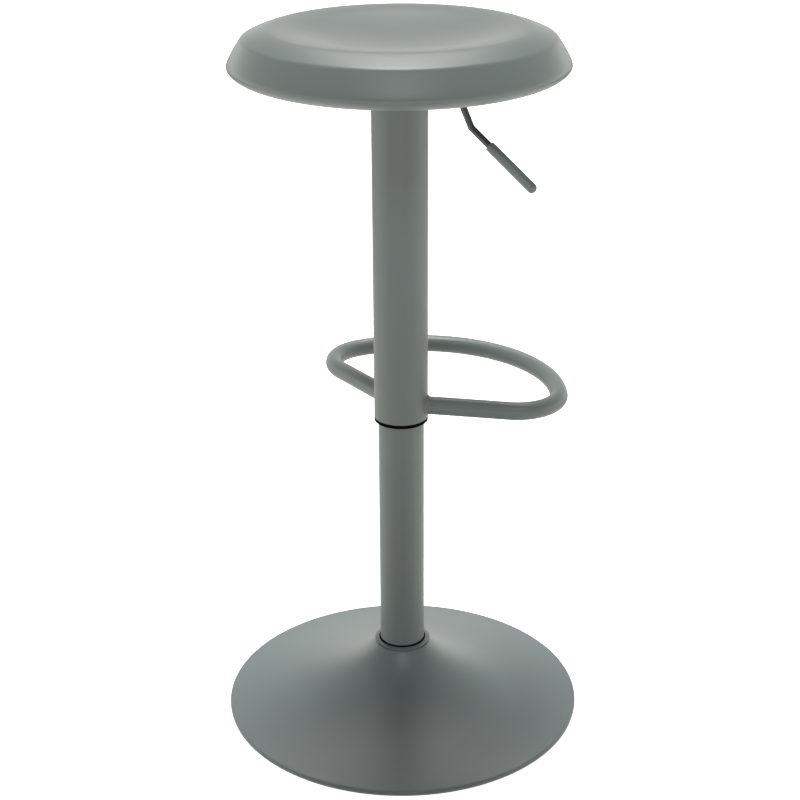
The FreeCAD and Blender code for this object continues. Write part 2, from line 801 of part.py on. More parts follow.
def mount_ring():
    """Pressed ring welded under the bowl; its flange takes the seat plate's bolts."""
    inner_wall = MOUNT_RADIUS - MOUNT_WALL
    inner = MOUNT_RADIUS - MOUNT_FLANGE
    flange_top = mount_level + MOUNT_THICK
    ring = turned_ring(
        (inner, mount_level), (MOUNT_RADIUS, mount_level, 2.0),
        (MOUNT_RADIUS, under_bowl(MOUNT_RADIUS) - SNUG),
        (inner_wall, under_bowl(inner_wall) - SNUG), (inner_wall, flange_top), (inner, flange_top))
    for x, y in corners_of(BOLT_HALF):
        ring = ring.cut(rod(BOLT_HOLE, mount_level - 1, flange_top + 1, x, y))
    return ring


def weld_nuts():
    """Nuts welded on top of the mounting ring's flange."""
    low = mount_level + MOUNT_THICK
    high = low + NUT_HEIGHT
    return Part.makeCompound([
        hexagon(NUT_RADIUS, low, high, x, y).cut(rod(BOLT_RADIUS + SNUG, low - 1, high + 1, x, y))
        for x, y in corners_of(BOLT_HALF)])


def plate_screws():
    """Socket screws that hold the seat plate up against the mounting ring."""
    seat = mount_level - PLATE_SHEET - WASHER_THICK
    screws = []
    for x, y in corners_of(BOLT_HALF):
        head = rod(BOLT_HEAD_RADIUS, seat - BOLT_HEAD, seat, x, y)
        head = head.makeFillet(0.8, [e for e in head.Edges if e.BoundBox.ZMax < seat - BOLT_HEAD / 2])
        screw = head.fuse(rod(BOLT_RADIUS, seat, seat + BOLT_LENGTH, x, y))
        screws.append(screw.cut(hexagon(BOLT_KEY_RADIUS, seat - BOLT_HEAD - 1, seat - BOLT_HEAD / 2, x, y)))
    return Part.makeCompound(screws)


def plate_washers():
    """Washers between the screws' heads and the seat plate."""
    high = mount_level - PLATE_SHEET
    low = high - WASHER_THICK
    return Part.makeCompound([
        rod(WASHER_RADIUS, low, high, x, y).cut(rod(BOLT_RADIUS + SNUG, low - 1, high + 1, x, y))
        for x, y in corners_of(BOLT_HALF)])


def seat_plate():
    """Pressed plate: a bolted flange round a tray, open at the side where the lever comes out."""
    flange = block(PLATE_HALF, PLATE_HALF, PLATE_CORNER, mount_level - PLATE_SHEET, mount_level)
    tray = block(TRAY_HALF_X, TRAY_HALF_Y, TRAY_CORNER, tray_under, mount_level)
    hollow = block(TRAY_HALF_X - PLATE_SHEET, TRAY_HALF_Y - PLATE_SHEET, TRAY_CORNER - PLATE_SHEET,
                   tray_floor, mount_level + 1)
    tray = tray.makeFillet(PRESS_ROUND, level_edges(tray, tray_under))
    hollow = hollow.makeFillet(PRESS_ROUND - PLATE_SHEET, level_edges(hollow, tray_floor))
    plate = fused([flange, tray]).cut(hollow)
    plate = plate.cut(rod(HUB_RADIUS + SNUG, tray_under - 1, tray_floor + 1))
    for x, y in corners_of(BOLT_HALF):
        plate = plate.cut(rod(BOLT_HOLE, mount_level - PLATE_SHEET - 1, mount_level + 1, x, y))
    rise = (TRAY_HALF_X - PIVOT_OUT) * math.tan(math.radians(LEVER_PULL))
    half = LEVER_RADIUS + 2 * LOOSE
    slot_corner = V(-TRAY_HALF_X - PLATE_SHEET / 2, -half, lever_level - half)
    slot = Part.makeBox(2 * PLATE_SHEET, 2 * half, 2 * half + rise, slot_corner)
    return plate.cut(slot)


def taper_hub():
    """Hub welded in the seat plate, with the socket for the cylinder's tapered top."""
    return turned_ring(
        (taper_radius(hub_bottom) + SNUG, hub_bottom), (HUB_RADIUS, hub_bottom, 1.0),
        (HUB_RADIUS, hub_top, 0.6),
        (taper_radius(hub_top) + SNUG, hub_top))


# Lever

def lever_bracket():
    """Bent bracket on the tray's floor whose two ears carry the lever's pin."""
    half_length = EAR_LENGTH / 2
    outer = EAR_HALF + EAR_THICK
    back = -PIVOT_OUT - half_length
    low = Part.makeBox(EAR_LENGTH, 2 * outer, EAR_THICK, V(back, -outer, tray_floor))
    pieces = [low]
    for y in (-outer, EAR_HALF):
        height = lever_level - tray_floor
        eye = V(-PIVOT_OUT, y, lever_level)
        pieces.append(Part.makeBox(EAR_LENGTH, EAR_THICK, height, V(back, y, tray_floor)))
        pieces.append(Part.makeCylinder(half_length, EAR_THICK, eye, V(0, 1, 0)))
    hole_start = V(-PIVOT_OUT, -outer - 1, lever_level)
    hole = Part.makeCylinder(PIVOT_RADIUS + SNUG, 2 * outer + 2, hole_start, V(0, 1, 0))
    return fused(pieces).cut(hole)


def lever_pivot_pin():
    """Riveted pin through the two ears."""
    outer = EAR_HALF + EAR_THICK
    axis = V(0, 1, 0)
    shank = Part.makeCylinder(PIVOT_RADIUS, 2 * outer, V(-PIVOT_OUT, -outer, lever_level), axis)
    heads = [Part.makeCylinder(PIVOT_HEAD, PIVOT_HEAD_THICK, V(-PIVOT_OUT, y, lever_level), axis)
             for y in (-outer - PIVOT_HEAD_THICK, outer)]
    return fused([shank] + heads)


def lever_end(distance):
    """A point on the lever's lower straight run, at a distance past its elbow."""
    fall = math.radians(SHALLOW_ANGLE)
    return at(-ELBOW_REACH - distance * math.cos(fall), elbow_level - distance * math.sin(fall))


def lever_rod():
    """Bent steel rod with a flat tongue over the release pin and a bored boss on the pivot."""
    rod_length = GRIP_START + GRIP_LENGTH - GRIP_SOLID_END
    path = rounded([
        (at(-PIVOT_OUT, lever_level), 0), (at(-steep_start, lever_level), STEEP_BEND),
        (at(-ELBOW_REACH, elbow_level), ELBOW_BEND), (lever_end(rod_length), 0)], closed=False)
    boss_half = EAR_HALF - LOOSE
    boss = Part.makeCylinder(BOSS_RADIUS, 2 * boss_half, V(-PIVOT_OUT, -boss_half, lever_level), V(0, 1, 0))
    tongue_low = lever_level - TONGUE_THICK / 2
    tongue = Part.makeBox(PIVOT_OUT + TONGUE_PAST, 2 * TONGUE_HALF, TONGUE_THICK,
                          V(-PIVOT_OUT, -TONGUE_HALF, tongue_low))
    tip = [e for e in tongue.Edges if e.BoundBox.XMin > 0 and e.BoundBox.ZLength > TONGUE_THICK / 2]
    tongue = tongue.makeFillet(TONGUE_HALF - 1, tip)
    hole_start = V(-PIVOT_OUT, -EAR_HALF, lever_level)
    hole = Part.makeCylinder(PIVOT_RADIUS + RUNNING, 2 * EAR_HALF, hole_start, V(0, 1, 0))
    return fused([swept(path, LEVER_RADIUS), boss, tongue]).cut(hole)


def lever_grip():
    """Plastic grip pushed on the end of the rod, with a round tip."""
    bore = LEVER_RADIUS + SNUG
    depth = GRIP_LENGTH - GRIP_SOLID_END
    side = GRIP_LENGTH - GRIP_RADIUS
    half = math.sqrt(0.5)
    midway = at(GRIP_RADIUS * half, side + GRIP_RADIUS * half)
    tip = Part.Arc(at(GRIP_RADIUS, side), midway, at(0, GRIP_LENGTH)).toShape()
    corners = [(at(bore, 0), 0), (at(GRIP_RADIUS, 0), GRIP_EDGE), (at(GRIP_RADIUS, side), 0)]
    mouth = rounded(corners, closed=False)
    middle = line(at(0, GRIP_LENGTH), at(0, depth))
    edges = mouth + [tip, middle, line(at(0, depth), at(bore, depth)), line(at(bore, depth), at(bore, 0))]
    grip = turned(edges)
    heading = lever_end(1) - lever_end(0)
    grip.Placement = FreeCAD.Placement(lever_end(GRIP_START), FreeCAD.Rotation(UP, heading))
    return grip


NODES = [
    floor_ring, base_cover, ballast_plate, column_foot, foot_screws, column_tube, guide_bush, collar_ring,
    collar_seal, bearing_race_lower, bearing_race_upper, ball_cage, bearing_balls, piston_rod, rod_clip,
    bump_rubber, piston, piston_seal, gas_cylinder, cylinder_gland, gland_seal, inner_tube, valve_body,
    release_pin, sleeve_tube, sleeve_ring, sleeve_bush, footrest, seat_shell, mount_ring, weld_nuts,
    plate_screws, plate_washers, seat_plate, taper_hub, lever_bracket, lever_pivot_pin, lever_rod,
    lever_grip,
]


def main():
    """Builds every piece and writes it to its own file."""
    os.makedirs("parts", exist_ok=True)
    for build in NODES:
        shape = build()
        box = shape.BoundBox
        shape.exportStep("parts/" + build.__name__ + ".step")
        print(f"{build.__name__:20s} solids {len(shape.Solids):2d} valid {shape.isValid()} "
              f"volume {shape.Volume:10.1f} x {box.XMin:7.1f} {box.XMax:6.1f} "
              f"y {box.YMin:7.1f} {box.YMax:6.1f} z {box.ZMin:6.1f} {box.ZMax:6.1f}")


main()
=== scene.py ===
import logging
import math
from dataclasses import dataclass, field
from enum import Enum

import bpy
import numpy as np
from mathutils import Matrix, Vector


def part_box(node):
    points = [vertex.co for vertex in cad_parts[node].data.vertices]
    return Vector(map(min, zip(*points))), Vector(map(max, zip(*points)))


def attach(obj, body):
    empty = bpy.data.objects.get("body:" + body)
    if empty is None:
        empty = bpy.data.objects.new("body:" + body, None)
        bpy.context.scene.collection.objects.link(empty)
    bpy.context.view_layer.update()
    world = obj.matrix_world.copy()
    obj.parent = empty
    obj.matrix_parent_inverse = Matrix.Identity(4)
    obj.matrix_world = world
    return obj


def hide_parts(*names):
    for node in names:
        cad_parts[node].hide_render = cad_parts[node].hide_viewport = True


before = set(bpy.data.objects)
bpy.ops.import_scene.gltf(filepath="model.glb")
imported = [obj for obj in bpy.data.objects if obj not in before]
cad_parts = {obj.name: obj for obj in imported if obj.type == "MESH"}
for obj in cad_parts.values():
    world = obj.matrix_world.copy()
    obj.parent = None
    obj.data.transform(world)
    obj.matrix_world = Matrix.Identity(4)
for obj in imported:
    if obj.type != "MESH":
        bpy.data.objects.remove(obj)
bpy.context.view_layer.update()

# A height-adjustable bar stool: a round dished seat, a telescopic column with a bent-tube footrest,
# a lift lever and a trumpet base. Metres, +Z up, the origin on the floor under the column.

LOG = logging.getLogger("stool")
MM = 0.001
FULL_TURN = 360.0
POLE_RADIUS = 1e-9
WHITE = (1.0, 1.0, 1.0, 1.0)
WARM = (1.0, 0.985, 0.945)


class Body(str, Enum):
    """The rigid bodies that the scene's own pieces ride on."""

    BASE = "base"
    SEAT = "seat_lift"


class Slot(str, Enum):
    """The finishes of the stool, by the names of the record's material slots."""

    SEAT_PAINT = "seat_paint"
    COLUMN_PAINT = "column_paint"
    # The base's paint is the seat's and column's grey made lighter and bluer: painted light on the base.
    BASE_PAINT_LIT = "base_paint"
    MECHANISM_PAINT = "mechanism_paint"
    RING_PLASTIC = "ring_plastic"
    BUSH_PLASTIC = "bush_plastic"
    GRIP_PLASTIC = "grip_plastic"
    BLACK_RUBBER = "black_rubber"
    LEVER_STEEL = "lever_steel"
    BARE_STEEL = "bare_steel"
    ZINC_STEEL = "zinc_steel"
    BEARING_STEEL = "bearing_steel"
    ROD_CHROME = "rod_chrome"
    CYLINDER_PAINT = "cylinder_paint"
    SPRING_ALLOY = "spring_alloy"


# Sections: runs of points with their directions

@dataclass(frozen=True)
class Run:
    """One smooth stretch of a section: points (n, 2) as radius and height, and unit tangents (n, 2)."""

    points: np.ndarray
    tangents: np.ndarray

    def left(self) -> np.ndarray:
        """The unit normals to the left of the way: (-tangent_z, tangent_r)."""
        return np.stack([-self.tangents[:, 1], self.tangents[:, 0]], axis=1)


def run_along(points: np.ndarray, directions: np.ndarray) -> Run:
    """A run through (n, 2) points, whose tangents are the directions of travel scaled to unit length."""
    return Run(points, directions / np.linalg.norm(directions, axis=1, keepdims=True))


def straight(start: tuple, end: tuple) -> Run:
    """A straight run from start to end."""
    points = np.array([start, end], float)
    return run_along(points, np.repeat(points[1:] - points[:1], 2, axis=0))


def arc(centre: tuple, radius: float, start: float, stop: float, steps: int) -> Run:
    """A circular run: point = centre + radius (cos a, sin a), a from start to stop.

    Args:
        centre: Centre of the circle.
        radius: Its radius.
        start: First angle in degrees.
        stop: Last angle in degrees.
        steps: Number of intervals.

    Returns:
        The run.
    """
    a = np.radians(np.linspace(start, stop, steps + 1))
    way = math.copysign(1.0, stop - start)
    points = np.array(centre, float) + radius * np.stack([np.cos(a), np.sin(a)], axis=1)
    return run_along(points, way * np.stack([-np.sin(a), np.cos(a)], axis=1))


def conic(start: tuple, corner: tuple, end: tuple, weight: float, steps: int) -> Run:
    """A conic run: P(t) = (u^2 A + 2 w u t B + t^2 C) / (u^2 + 2 w u t + t^2), with u = 1 - t.

    Args:
        start: First point A.
        corner: Point B where the end tangents meet.
        end: Last point C.
        weight: Fullness w of the corner.
        steps: Number of intervals.

    Returns:
        The run.
    """
    t = np.linspace(0.0, 1.0, steps + 1)[:, None]
    u = 1.0 - t
    a, b, c = (np.array(p, float) for p in (start, corner, end))
    top = u * u * a + 2 * weight * u * t * b + t * t * c
    low = u * u + 2 * weight * u * t + t * t
    top_rate = -2 * u * a + 2 * weight * (u - t) * b + 2 * t * c
    low_rate = -2 * u + 2 * weight * (u - t) + 2 * t
    return run_along(top / low, top_rate * low - top * low_rate)


def moved_in(run: Run, wall: float) -> Run:
    """The run moved to its left, where the material is, by a wall thickness, and turned round."""
    return Run((run.points + wall * run.left())[::-1], -run.tangents[::-1])


def rounded(corners: list, steps: int = 6) -> list:
    """A closed section of straight runs whose corners (r, z, radius) are rounded by tangent arcs.

    Args:
        corners: Corners in order, the last joined to the first.
        steps: Intervals in each round.

    Returns:
        The runs in order.
    """
    rounds, runs = [], []
    for i, (r, z, radius) in enumerate(corners):
        point = np.array((r, z), float)
        back = np.array(corners[i - 1][:2], float) - point
        ahead = np.array(corners[(i + 1) % len(corners)][:2], float) - point
        back, ahead = back / np.linalg.norm(back), ahead / np.linalg.norm(ahead)
        half = math.acos(float(np.clip(back @ ahead, -1, 1))) / 2
        reach = radius / math.tan(half)
        first, last, turn = point + back * reach, point + ahead * reach, []
        if radius > 0:
            inward = (back + ahead) / np.linalg.norm(back + ahead)
            middle = point + inward * (radius / math.sin(half))
            start = math.degrees(math.atan2(*(first - middle)[::-1]))
            stop = math.degrees(math.atan2(*(last - middle)[::-1]))
            stop += FULL_TURN * round((start - stop) / FULL_TURN)
            turn = [arc(middle, radius, start, stop, steps)]
        rounds.append((first, last, turn))
    for (_, last, turn), (following, _, _) in zip(rounds, rounds[1:] + rounds[:1]):
        runs += turn + [straight(last, following)]
    return runs


# Meshes

def placed(name: str, data: bpy.types.ID) -> bpy.types.Object:
    """Links a new object into the scene, at the origin.

    Args:
        name: Name of the object.
        data: Its mesh, light or camera.

    Returns:
        The object.
    """
    obj = bpy.data.objects.new(name, data)
    bpy.context.scene.collection.objects.link(obj)
    return obj


def mesh_object(name: str, points: np.ndarray, faces: np.ndarray,
                normals: np.ndarray = None) -> bpy.types.Object:
    """Puts arrays into a mesh object at the origin, with its faces outwards.

    A face whose corners repeat is a triangle. The signed volume, the sum of a . (b x c) / 6 over
    the triangles, tells whether the faces point outwards, and if it is negative they are turned.

    Args:
        name: Name of the piece.
        points: (n, 3) places in metres.
        faces: (m, 4) corner indices.
        normals: (m, 4, 3) normals at the faces' corners, or None for plain smooth shading.

    Returns:
        The object.
    """
    a, b, c, d = (points[faces[:, k]] for k in range(4))
    volume = (np.einsum("ij,ij->", a, np.cross(b, c)) + np.einsum("ij,ij->", a, np.cross(c, d))) / 6
    if volume < 0:
        faces = faces[:, ::-1]
        a, b, c, d = d, c, b, a
        normals = None if normals is None else normals[:, ::-1]
    keep = faces != np.roll(faces, 1, axis=1)
    counts = keep.sum(axis=1)
    mesh = bpy.data.meshes.new(name)
    mesh.vertices.add(len(points))
    mesh.vertices.foreach_set("co", points.astype(np.float32).ravel())
    mesh.loops.add(int(counts.sum()))
    mesh.loops.foreach_set("vertex_index", faces[keep].astype(np.int32))
    mesh.polygons.add(len(faces))
    mesh.polygons.foreach_set("loop_start", (np.cumsum(counts) - counts).astype(np.int32))
    mesh.update(calc_edges=True)
    mesh.polygons.foreach_set("use_smooth", np.ones(len(faces), bool))
    if normals is not None:
        face_way = np.cross(c - a, d - b)
        sign = np.sign(np.einsum("ij,ikj->ik", face_way, normals))
        mesh.normals_split_custom_set((normals * np.where(sign == 0, 1, sign)[..., None])[keep])
    return placed(name, mesh)


def joined(runs: list) -> tuple:
    """Strings runs into one closed section.

    Args:
        runs: Runs in order, each starting where the one before ends.

    Returns:
        Points (n, 2), and for each interval from one point to the next the tangents (n, 2, 2) at
        its two ends, so that a corner between two runs stays sharp.
    """
    points = np.concatenate([run.points[:-1] for run in runs])
    tangents = np.concatenate([np.stack([run.tangents[:-1], run.tangents[1:]], axis=1) for run in runs])
    return points, tangents


def spun(section: np.ndarray, angles: np.ndarray) -> np.ndarray:
    """Turns (n, 2) radii and heights round the Z axis to every angle: (r cos a, r sin a, z)."""
    r, z = section[:, :1], np.repeat(section[:, 1:], len(angles), axis=1)
    return np.stack([r * np.cos(angles), r * np.sin(angles), z], axis=2)


def turned(name: str, runs: list, sides: int) -> bpy.types.Object:
    """Sweeps a closed section round the Z axis: (r cos a, r sin a, z). Points on the axis are poles.

    Args:
        name: Name of the piece.
        runs: The closed section, in order.
        sides: Number of steps round the axis.

    Returns:
        The object.
    """
    section, tangents = joined(runs)
    angles = np.linspace(0.0, 2 * np.pi, sides, endpoint=False)
    on_axis = section[:, 0] < POLE_RADIUS
    sizes = np.where(on_axis, 1, sides)
    starts = np.cumsum(sizes) - sizes
    index = starts[:, None] + np.where(on_axis[:, None], 0, np.arange(sides)[None])
    points = np.concatenate([ring[:size] for ring, size in zip(spun(section, angles), sizes)])
    after, right = np.roll(index, -1, axis=0), np.roll(index, -1, axis=1)
    faces = np.stack([index, right, np.roll(after, -1, axis=1), after], axis=2)
    normal = np.stack([tangents[:, :, 1], -tangents[:, :, 0]], axis=2)
    near, far = angles, np.roll(angles, -1)
    corners = ((0, near), (0, far), (1, far), (1, near))
    normals = np.stack([spun(normal[:, end], way) for end, way in corners], axis=2)
    real = ~(on_axis & np.roll(on_axis, -1))
    return mesh_object(name, points, faces[real].reshape(-1, 4), normals[real].reshape(-1, 4, 3))


def carried(name: str, rings: np.ndarray) -> bpy.types.Object:
    """Joins a row of rings (stations, sides, 3) into a closed skin, each end closed by a fan on its middle.

    Args:
        name: Name of the piece.
        rings: The rings' points, station by station along the path.

    Returns:
        The object.
    """
    stations, sides = rings.shape[:2]
    points = np.concatenate([rings.reshape(-1, 3), rings[0].mean(0)[None], rings[-1].mean(0)[None]])
    index = np.arange(stations * sides).reshape(stations, sides)
    right = np.roll(index, -1, axis=1)
    skin = np.stack([index[:-1], right[:-1], right[1:], index[1:]], axis=2).reshape(-1, 4)
    first, last = (np.full(sides, stations * sides + k) for k in (0, 1))
    start_fan = np.stack([right[0], index[0], first, first], axis=1)
    end_fan = np.stack([index[-1], right[-1], last, last], axis=1)
    return mesh_object(name, points, np.concatenate([skin, start_fan, end_fan]))


def plain_tube(name: str, node: str, wall: float, edge: float, sides: int) -> bpy.types.Object:
    """A straight tube with lightly broken edges, as long and as wide as a node.

    Args:
        name: Name of the piece.
        node: The frame's node.
        wall: Thickness of the wall.
        edge: Radius of the edges.
        sides: Number of steps round the axis.

    Returns:
        The tube.
    """
    low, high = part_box(node)
    ends = ((high.x - wall, low.z), (high.x, low.z), (high.x, high.z), (high.x - wall, high.z))
    return turned(name, rounded([(r, z, edge) for r, z in ends]), sides)


# Shader groups

@dataclass
class Graph:
    """A node tree with short ways to add and join nodes."""

    tree: bpy.types.NodeTree

    def feed(self, node: bpy.types.Node, inputs: dict) -> None:
        """Links or sets a node's inputs.

        Args:
            node: The node.
            inputs: By the input's name or number, an output socket to link or a value to set.
        """
        for key, value in inputs.items():
            if isinstance(value, bpy.types.NodeSocket):
                self.tree.links.new(value, node.inputs[key])
            else:
                node.inputs[key].default_value = value

    def add(self, kind: str, inputs: dict = None, **settings: object) -> bpy.types.Node:
        """Adds a node.

        Args:
            kind: The node's type name.
            inputs: What its inputs are fed, or None.
            settings: Attributes of the node.

        Returns:
            The node.
        """
        node = self.tree.nodes.new(kind)
        for key, value in settings.items():
            setattr(node, key, value)
        self.feed(node, inputs or {})
        return node

    def maths(self, operation: str, *terms: object, clamp: bool = False) -> bpy.types.NodeSocket:
        """The result of an operation on numbers or sockets, kept from 0 to 1 if clamp is set."""
        node = self.add("ShaderNodeMath", dict(enumerate(terms)), operation=operation, use_clamp=clamp)
        return node.outputs[0]

    def centred(self, noise: bpy.types.NodeSocket) -> bpy.types.NodeSocket:
        """A noise less its mean, which is a half."""
        return self.maths("SUBTRACT", noise, 0.5)

    def noise(self, vector: bpy.types.NodeSocket, scale: object, detail: float = 2.0,
              roughness: float = 0.5) -> bpy.types.NodeSocket:
        """Reads a noise texture.

        Args:
            vector: Where it is read.
            scale: Number or socket, in repeats per metre.
            detail: Octaves.
            roughness: Share of the finer octaves.

        Returns:
            Its value, about 0.5 on average.
        """
        inputs = {"Vector": vector, "Scale": scale, "Detail": detail, "Roughness": roughness}
        return self.add("ShaderNodeTexNoise", inputs).outputs["Fac"]

    def mixed(self, share: bpy.types.NodeSocket, first: bpy.types.Node,
              second: bpy.types.Node) -> bpy.types.Node:
        """Mixes two shaders: the first where the share is 0, the second where it is 1."""
        return self.add("ShaderNodeMixShader", {0: share, 1: first.outputs[0], 2: second.outputs[0]})


class Skin(Graph):
    """A shader group that turns a place on a piece into Color, Roughness and Height."""

    COMMON = {"Place": (0.0, 0.0, 0.0), "Own colour": WHITE, "Drift": 0.1, "Roughness": 0.5,
              "Roughness play": 0.1}
    KINDS = {1: "NodeSocketFloat", 3: "NodeSocketVector", 4: "NodeSocketColor"}
    RESULTS = {"Color": 4, "Roughness": 1, "Height": 1}

    def __init__(self, name: str, own: dict) -> None:
        """Makes an empty group with the common inputs and outputs and some inputs of its own.

        Args:
            name: Name of the group.
            own: The name and default value of each input of its own.
        """
        super().__init__(bpy.data.node_groups.new(name, "ShaderNodeTree"))
        sockets = self.tree.interface
        for label, value in {**self.COMMON, **own}.items():
            kind = self.KINDS[np.size(value)]
            sockets.new_socket(label, in_out="INPUT", socket_type=kind).default_value = value
        for label, size in self.RESULTS.items():
            sockets.new_socket(label, in_out="OUTPUT", socket_type=self.KINDS[size])
        self.given = self.add("NodeGroupInput").outputs
        self.put = self.add("NodeGroupOutput")

    def close(self, height: bpy.types.NodeSocket, wander: bpy.types.NodeSocket,
              gloss: bpy.types.NodeSocket) -> bpy.types.NodeTree:
        """Puts out Color = own colour x (1 + wander x Drift) and Roughness + gloss x Roughness play.

        Args:
            height: The relief.
            wander: What moves the colour, about 0 on average.
            gloss: What moves the roughness, about 0 on average.

        Returns:
            The finished group.
        """
        tone = self.maths("ADD", 1.0, self.maths("MULTIPLY", wander, self.given["Drift"]))
        shade = self.add("ShaderNodeVectorMath", {0: self.given["Own colour"], "Scale": tone},
                         operation="SCALE")
        play = self.maths("MULTIPLY", gloss, self.given["Roughness play"])
        roughness = self.maths("ADD", self.given["Roughness"], play, clamp=True)
        self.feed(self.put, {"Color": shade.outputs[0], "Roughness": roughness, "Height": height})
        return self.tree


def powder_skin(clouds_per_m: float = 9.0) -> bpy.types.NodeTree:
    """Powder coat's skin: fine grain on a slow orange-peel ripple, and thinner colour on the grain's tops.

    Height = peel noise x (1 - share) + grain noise x share. Twice the sum of a slow cloud and of
    grain x share moves the colour, and the grain moves the gloss.

    Args:
        clouds_per_m: Repeats of the cloud in a metre.

    Returns:
        The group.
    """
    g = Skin("powder_coat_skin", {"Grain per m": 1400.0, "Peel per m": 260.0, "Grain share": 0.4})
    place, share = g.given["Place"], g.given["Grain share"]
    grain = g.noise(place, g.given["Grain per m"], detail=3.0, roughness=0.6)
    peel = g.noise(place, g.given["Peel per m"], detail=1.0)
    cloud = g.noise(place, clouds_per_m)
    slow = g.maths("MULTIPLY", peel, g.maths("SUBTRACT", 1.0, share))
    speck = g.maths("MULTIPLY", g.centred(grain), share)
    wander = g.maths("MULTIPLY", g.maths("ADD", g.centred(cloud), speck), 2.0)
    return g.close(g.maths("ADD", slow, g.maths("MULTIPLY", grain, share)), wander, g.centred(grain))


def lined_skin(stains_per_m: float = 45.0) -> bpy.types.NodeTree:
    """Fine lines left by turning, drawing or polishing: noise squeezed along one direction.

    Height = noise read where the coordinate along the lines is shortened by Stretch. The same
    lines and slow stains move colour and gloss.

    Args:
        stains_per_m: Repeats of the stains in a metre.

    Returns:
        The group.
    """
    g = Skin("drawn_lines", {"Stretch": (1.0, 1.0, 60.0), "Lines per m": 60.0})
    place = g.given["Place"]
    squeeze = g.add("ShaderNodeVectorMath", {0: place, 1: g.given["Stretch"]}, operation="MULTIPLY")
    lines = g.noise(squeeze.outputs[0], g.given["Lines per m"], detail=3.0, roughness=0.65)
    stain = g.noise(place, stains_per_m, detail=4.0, roughness=0.6)
    wander = g.maths("ADD", g.centred(lines), g.centred(stain))
    return g.close(lines, wander, wander)


def moulded_skin(flows_per_m: float = 60.0) -> bpy.types.NodeTree:
    """Moulded plastic or rubber: the fine pits of a spark-eroded mould, with a faint flow mottling.

    Height = half of the fine noise plus 1 minus the distance to the nearest cell's centre. The
    flow and half of the fine noise move colour and gloss.

    Args:
        flows_per_m: Repeats of the mottling in a metre.

    Returns:
        The group.
    """
    g = Skin("spark_texture", {"Pits per m": 1800.0})
    place, pits = g.given["Place"], g.given["Pits per m"]
    cells = g.add("ShaderNodeTexVoronoi", {"Vector": place, "Scale": pits})
    fine = g.noise(place, pits)
    flow = g.noise(place, flows_per_m, detail=3.0)
    domes = g.maths("ADD", g.maths("SUBTRACT", 1.0, cells.outputs["Distance"]), fine)
    wander = g.maths("ADD", g.centred(flow), g.maths("MULTIPLY", g.centred(fine), 0.5))
    return g.close(g.maths("MULTIPLY", domes, 0.5), wander, wander)


# Finishes

def linear(red: int, green: int, blue: int) -> tuple:
    """A display colour of 0 to 255 as linear light, by the sRGB curve.

    Up to a knee the curve is a straight line, c / slope, and above it a power,
    ((c + offset) / (1 + offset))^gamma.

    Args:
        red: Red of 255.
        green: Green of 255.
        blue: Blue of 255.

    Returns:
        Linear red, green, blue and 1.
    """
    knee, slope, offset, gamma = 0.04045, 12.92, 0.055, 2.4
    c = np.array((red, green, blue)) / 255.0
    light = np.where(c <= knee, c / slope, ((c + offset) / (1 + offset)) ** gamma)
    return (*(float(x) for x in light), 1.0)


@dataclass(frozen=True)
class Finish:
    """What every finish has: colour, height of relief, and how far colour and roughness wander."""

    colour: tuple
    relief: float
    drift: float
    roughness: float
    play: float

    def pattern(self) -> dict:
        """The values of the inputs that only this finish's skin has."""
        return {}

    def sheen(self) -> dict:
        """The values that this finish sets on the shader itself."""
        return {}

    def material(self, name: str, skin: bpy.types.NodeTree) -> bpy.types.Material:
        """Makes the material: Object coordinates into the skin, the skin into one Principled shader.

        Args:
            name: Name of the material.
            skin: The finish's shader group.

        Returns:
            The material.
        """
        material = bpy.data.materials.new(name)
        material.use_nodes = True
        g = Graph(material.node_tree)
        place = g.add("ShaderNodeTexCoord").outputs["Object"]
        inputs = {"Place": place, "Own colour": linear(*self.colour), "Drift": self.drift,
                  "Roughness": self.roughness, "Roughness play": self.play, **self.pattern()}
        made = g.add("ShaderNodeGroup", inputs, node_tree=skin).outputs
        bump = g.add("ShaderNodeBump", {"Strength": 1.0, "Distance": self.relief, "Height": made["Height"]})
        g.feed(g.tree.nodes["Principled BSDF"], {
            "Base Color": made["Color"], "Roughness": made["Roughness"],
            "Normal": bump.outputs["Normal"], **self.sheen()})
        return material


@dataclass(frozen=True)
class PowderCoat(Finish):
    """A matte baked powder paint."""

    colour: tuple = (134, 143, 141)
    relief: float = 0.025 * MM
    drift: float = 0.03
    roughness: float = 0.38
    play: float = 0.06
    grain_size: float = 0.7 * MM
    peel_size: float = 3.8 * MM
    grain_share: float = 0.5

    def pattern(self) -> dict:
        """The grain and the orange peel."""
        return {"Grain per m": 1 / self.grain_size, "Peel per m": 1 / self.peel_size,
                "Grain share": self.grain_share}


@dataclass(frozen=True)
class Metal(Finish):
    """Bare or plated metal with fine lines from its making."""

    relief: float = 0.01 * MM
    drift: float = 0.15
    roughness: float = 0.36
    play: float = 0.2
    stretch: tuple = (1.0, 1.0, 60.0)
    line_size: float = 16 * MM
    metallic: float = 1.0

    def pattern(self) -> dict:
        """The lines."""
        return {"Stretch": self.stretch, "Lines per m": 1 / self.line_size}

    def sheen(self) -> dict:
        """How metallic it is."""
        return {"Metallic": self.metallic}


@dataclass(frozen=True)
class Moulded(Finish):
    """Moulded plastic or rubber with the mould's fine texture."""

    relief: float = 0.03 * MM
    drift: float = 0.1
    roughness: float = 0.55
    play: float = 0.15
    pit_size: float = 0.55 * MM
    specular: float = 0.5

    def pattern(self) -> dict:
        """The pits."""
        return {"Pits per m": 1 / self.pit_size}

    def sheen(self) -> dict:
        """How much it mirrors."""
        return {"Specular IOR Level": self.specular}


